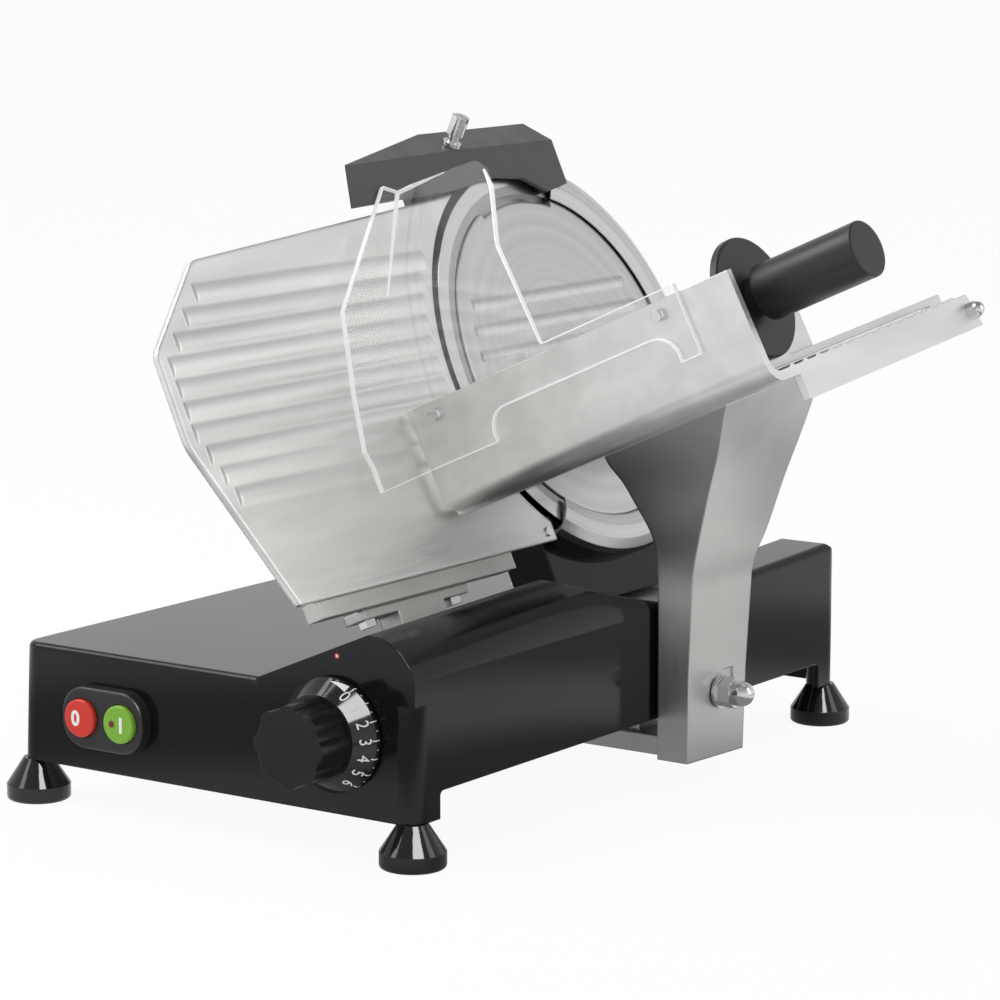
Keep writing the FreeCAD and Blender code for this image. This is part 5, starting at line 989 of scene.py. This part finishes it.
class SLICER_OT_studio(bpy.types.Operator):
    """Sets up the floor, the sky, the lamps and the camera."""

    bl_idname = "slicer.studio"
    bl_label = "Studio"

    def execute(self, context):
        sizes = context.scene.slicer.studio
        self.floor(sizes)
        self.sky(context.scene, sizes.sky_level)
        self.lamp("key_lamp", KEY_LAMP, sizes.key_power)
        self.lamp("side_lamp", SIDE_LAMP, sizes.side_power)
        softbox = self.lamp("softbox", SOFTBOX, sizes.gloss_power)
        softbox.visible_diffuse = False
        receivers = bpy.data.collections.new("softbox_receivers")
        for node in SOFTBOX_SEES:
            receivers.objects.link(frame["nodes"][node])
        softbox.light_linking.receiver_collection = receivers
        self.camera(context.scene, sizes)
        context.scene.view_settings.view_transform = "Standard"
        return {"FINISHED"}

    @staticmethod
    def floor(sizes):
        """A plain floor that shows nearly white to the camera and keeps the shadow; to gloss it shows a painted
        shadow beneath the object and a ring of painted shade round it.
        """
        half = sizes.floor_size / 2
        corners = [(-half, -half, 0.0), (half, -half, 0.0), (half, half, 0.0), (-half, half, 0.0)]
        mesh = bpy.data.meshes.new("floor")
        mesh.from_pydata(corners, [], [(0, 1, 2, 3)])
        floor = bpy.data.objects.new("floor", mesh)
        bpy.context.scene.collection.objects.link(floor)
        finish = Finish("plain_floor", Base_Color=(*sizes.floor_colour, 1.0), Roughness=0.9,
                        Specular_IOR_Level=0.0)
        x, y, _ = finish.parts(finish.place())
        behind = x * BACK_WAY[0] + y * BACK_WAY[1]
        away = (x * x + y * y).root()
        # Painted shade: a grey ring round the object in what gloss sees of the floor, fading behind it.
        shade_ring = (away.ramp(*SHADE_RING_STARTS, 1.0, SHADE_RING_LEVEL)
                .larger(away.ramp(*SHADE_RING_ENDS, SHADE_RING_LEVEL, 1.0))
                .larger(behind.ramp(*SHADE_RING_FADES, SHADE_RING_LEVEL, 1.0)))
        # Painted shadow beneath the object, seen by gloss only; further out the floor is white to gloss.
        floor_gloss_with_painted_shade = finish.white_light("ShaderNodeEmission",
                                   shade_ring.smaller(away.ramp(*UNDER_SHADE_ENDS, UNDER_SHADE_LEVEL, 1.0)))
        white = finish.white_light("ShaderNodeEmission", 1.0)
        seen, glossy = finish.rays()
        shown = finish.mix_shaders(seen * FLOOR_SHOWN, finish.shader.outputs[0], white)
        finish.tree.links.new(finish.mix_shaders(glossy, shown, floor_gloss_with_painted_shade), finish.end.inputs[0])
        mesh.materials.append(finish.material)

    @staticmethod
    def sky(scene, level):
        """White to the camera and through glass, one plain level for the light, and a soft grey
        to white dome for the gloss."""
        scene.world = bpy.data.worlds.new("studio_sky")
        sky = Nodes(scene.world)
        way = sky.node("ShaderNodeTexCoord", {}, {}).outputs["Generated"]
        height = sky.parts(way)[2]
        behind = Flow(sky, sky.node("ShaderNodeVectorMath", {"operation": "DOT_PRODUCT"},
                                    {0: way, 1: (*BACK_WAY, 0.0)}).outputs["Value"])
        dome = (height.ramp(*SKY_HEIGHTS, *SKY_LEVELS, "LINEAR")
                * behind.ramp(*SKY_SIDES, *SIDE_LEVELS))
        seen, glossy = sky.rays()
        lit = sky.mix_shaders(glossy, sky.white_light("ShaderNodeBackground", level),
                              sky.white_light("ShaderNodeBackground", dome))
        shown = sky.mix_shaders(seen, lit, sky.white_light("ShaderNodeBackground", 1.0))
        sky.node("ShaderNodeOutputWorld", {}, {"Surface": shown})

    @staticmethod
    def lamp(name, area, power):
        """A rectangular lamp that looks at its target."""
        data = bpy.data.lights.new(name, "AREA")
        data.shape = "RECTANGLE"
        data.size, data.size_y = area.width, area.height
        data.energy = power
        lamp = bpy.data.objects.new(name, data)
        lamp.location = area.place
        way = Vector(area.target) - Vector(area.place)
        lamp.rotation_euler = way.to_track_quat("-Z", "Y").to_euler()
        bpy.context.scene.collection.objects.link(lamp)
        return lamp

    @staticmethod
    def camera(scene, sizes):
        """The camera, as the settings say."""
        camera = bpy.data.objects.new("camera", bpy.data.cameras.new("camera"))
        camera.data.lens = sizes.camera_lens
        camera.data.sensor_width = SENSOR_WIDTH
        camera.location = sizes.camera_place
        camera.rotation_euler = (sizes.camera_pitch, 0.0, sizes.camera_turn)
        scene.collection.objects.link(camera)
        scene.camera = camera


class SLICER_PT_panel(bpy.types.Panel):
    """Lists the steps in the sidebar."""

    bl_idname = "SLICER_PT_panel"
    bl_label = "Slicer"
    bl_space_type = "VIEW_3D"
    bl_region_type = "UI"
    bl_category = "Slicer"

    def draw(self, context):
        for operator in OPERATORS:
            self.layout.operator(operator.bl_idname)


GROUPS = (StudioSizes, EnamelLook, AluminiumLook, PlasticLook, MarkSizes, SlicerProps)
OPERATORS = (SLICER_OT_finishes, SLICER_OT_eased_pieces, SLICER_OT_dial_scale,
             SLICER_OT_button_signs, SLICER_OT_studio)
CLASSES = (*GROUPS, *OPERATORS, SLICER_PT_panel)


def register():
    """Makes the classes known and hangs the settings on the scene."""
    for cls in CLASSES:
        bpy.utils.register_class(cls)
    bpy.types.Scene.slicer = PointerProperty(type=SlicerProps)


def unregister():
    """Takes everything away again."""
    del bpy.types.Scene.slicer
    for cls in reversed(CLASSES):
        bpy.utils.unregister_class(cls)


def main():
    """Runs every operator in order."""
    register()
    bpy.ops.slicer.finishes()
    bpy.ops.slicer.eased_pieces()
    bpy.ops.slicer.dial_scale()
    bpy.ops.slicer.button_signs()
    bpy.ops.slicer.studio()


if __name__ == "__main__":
    main()
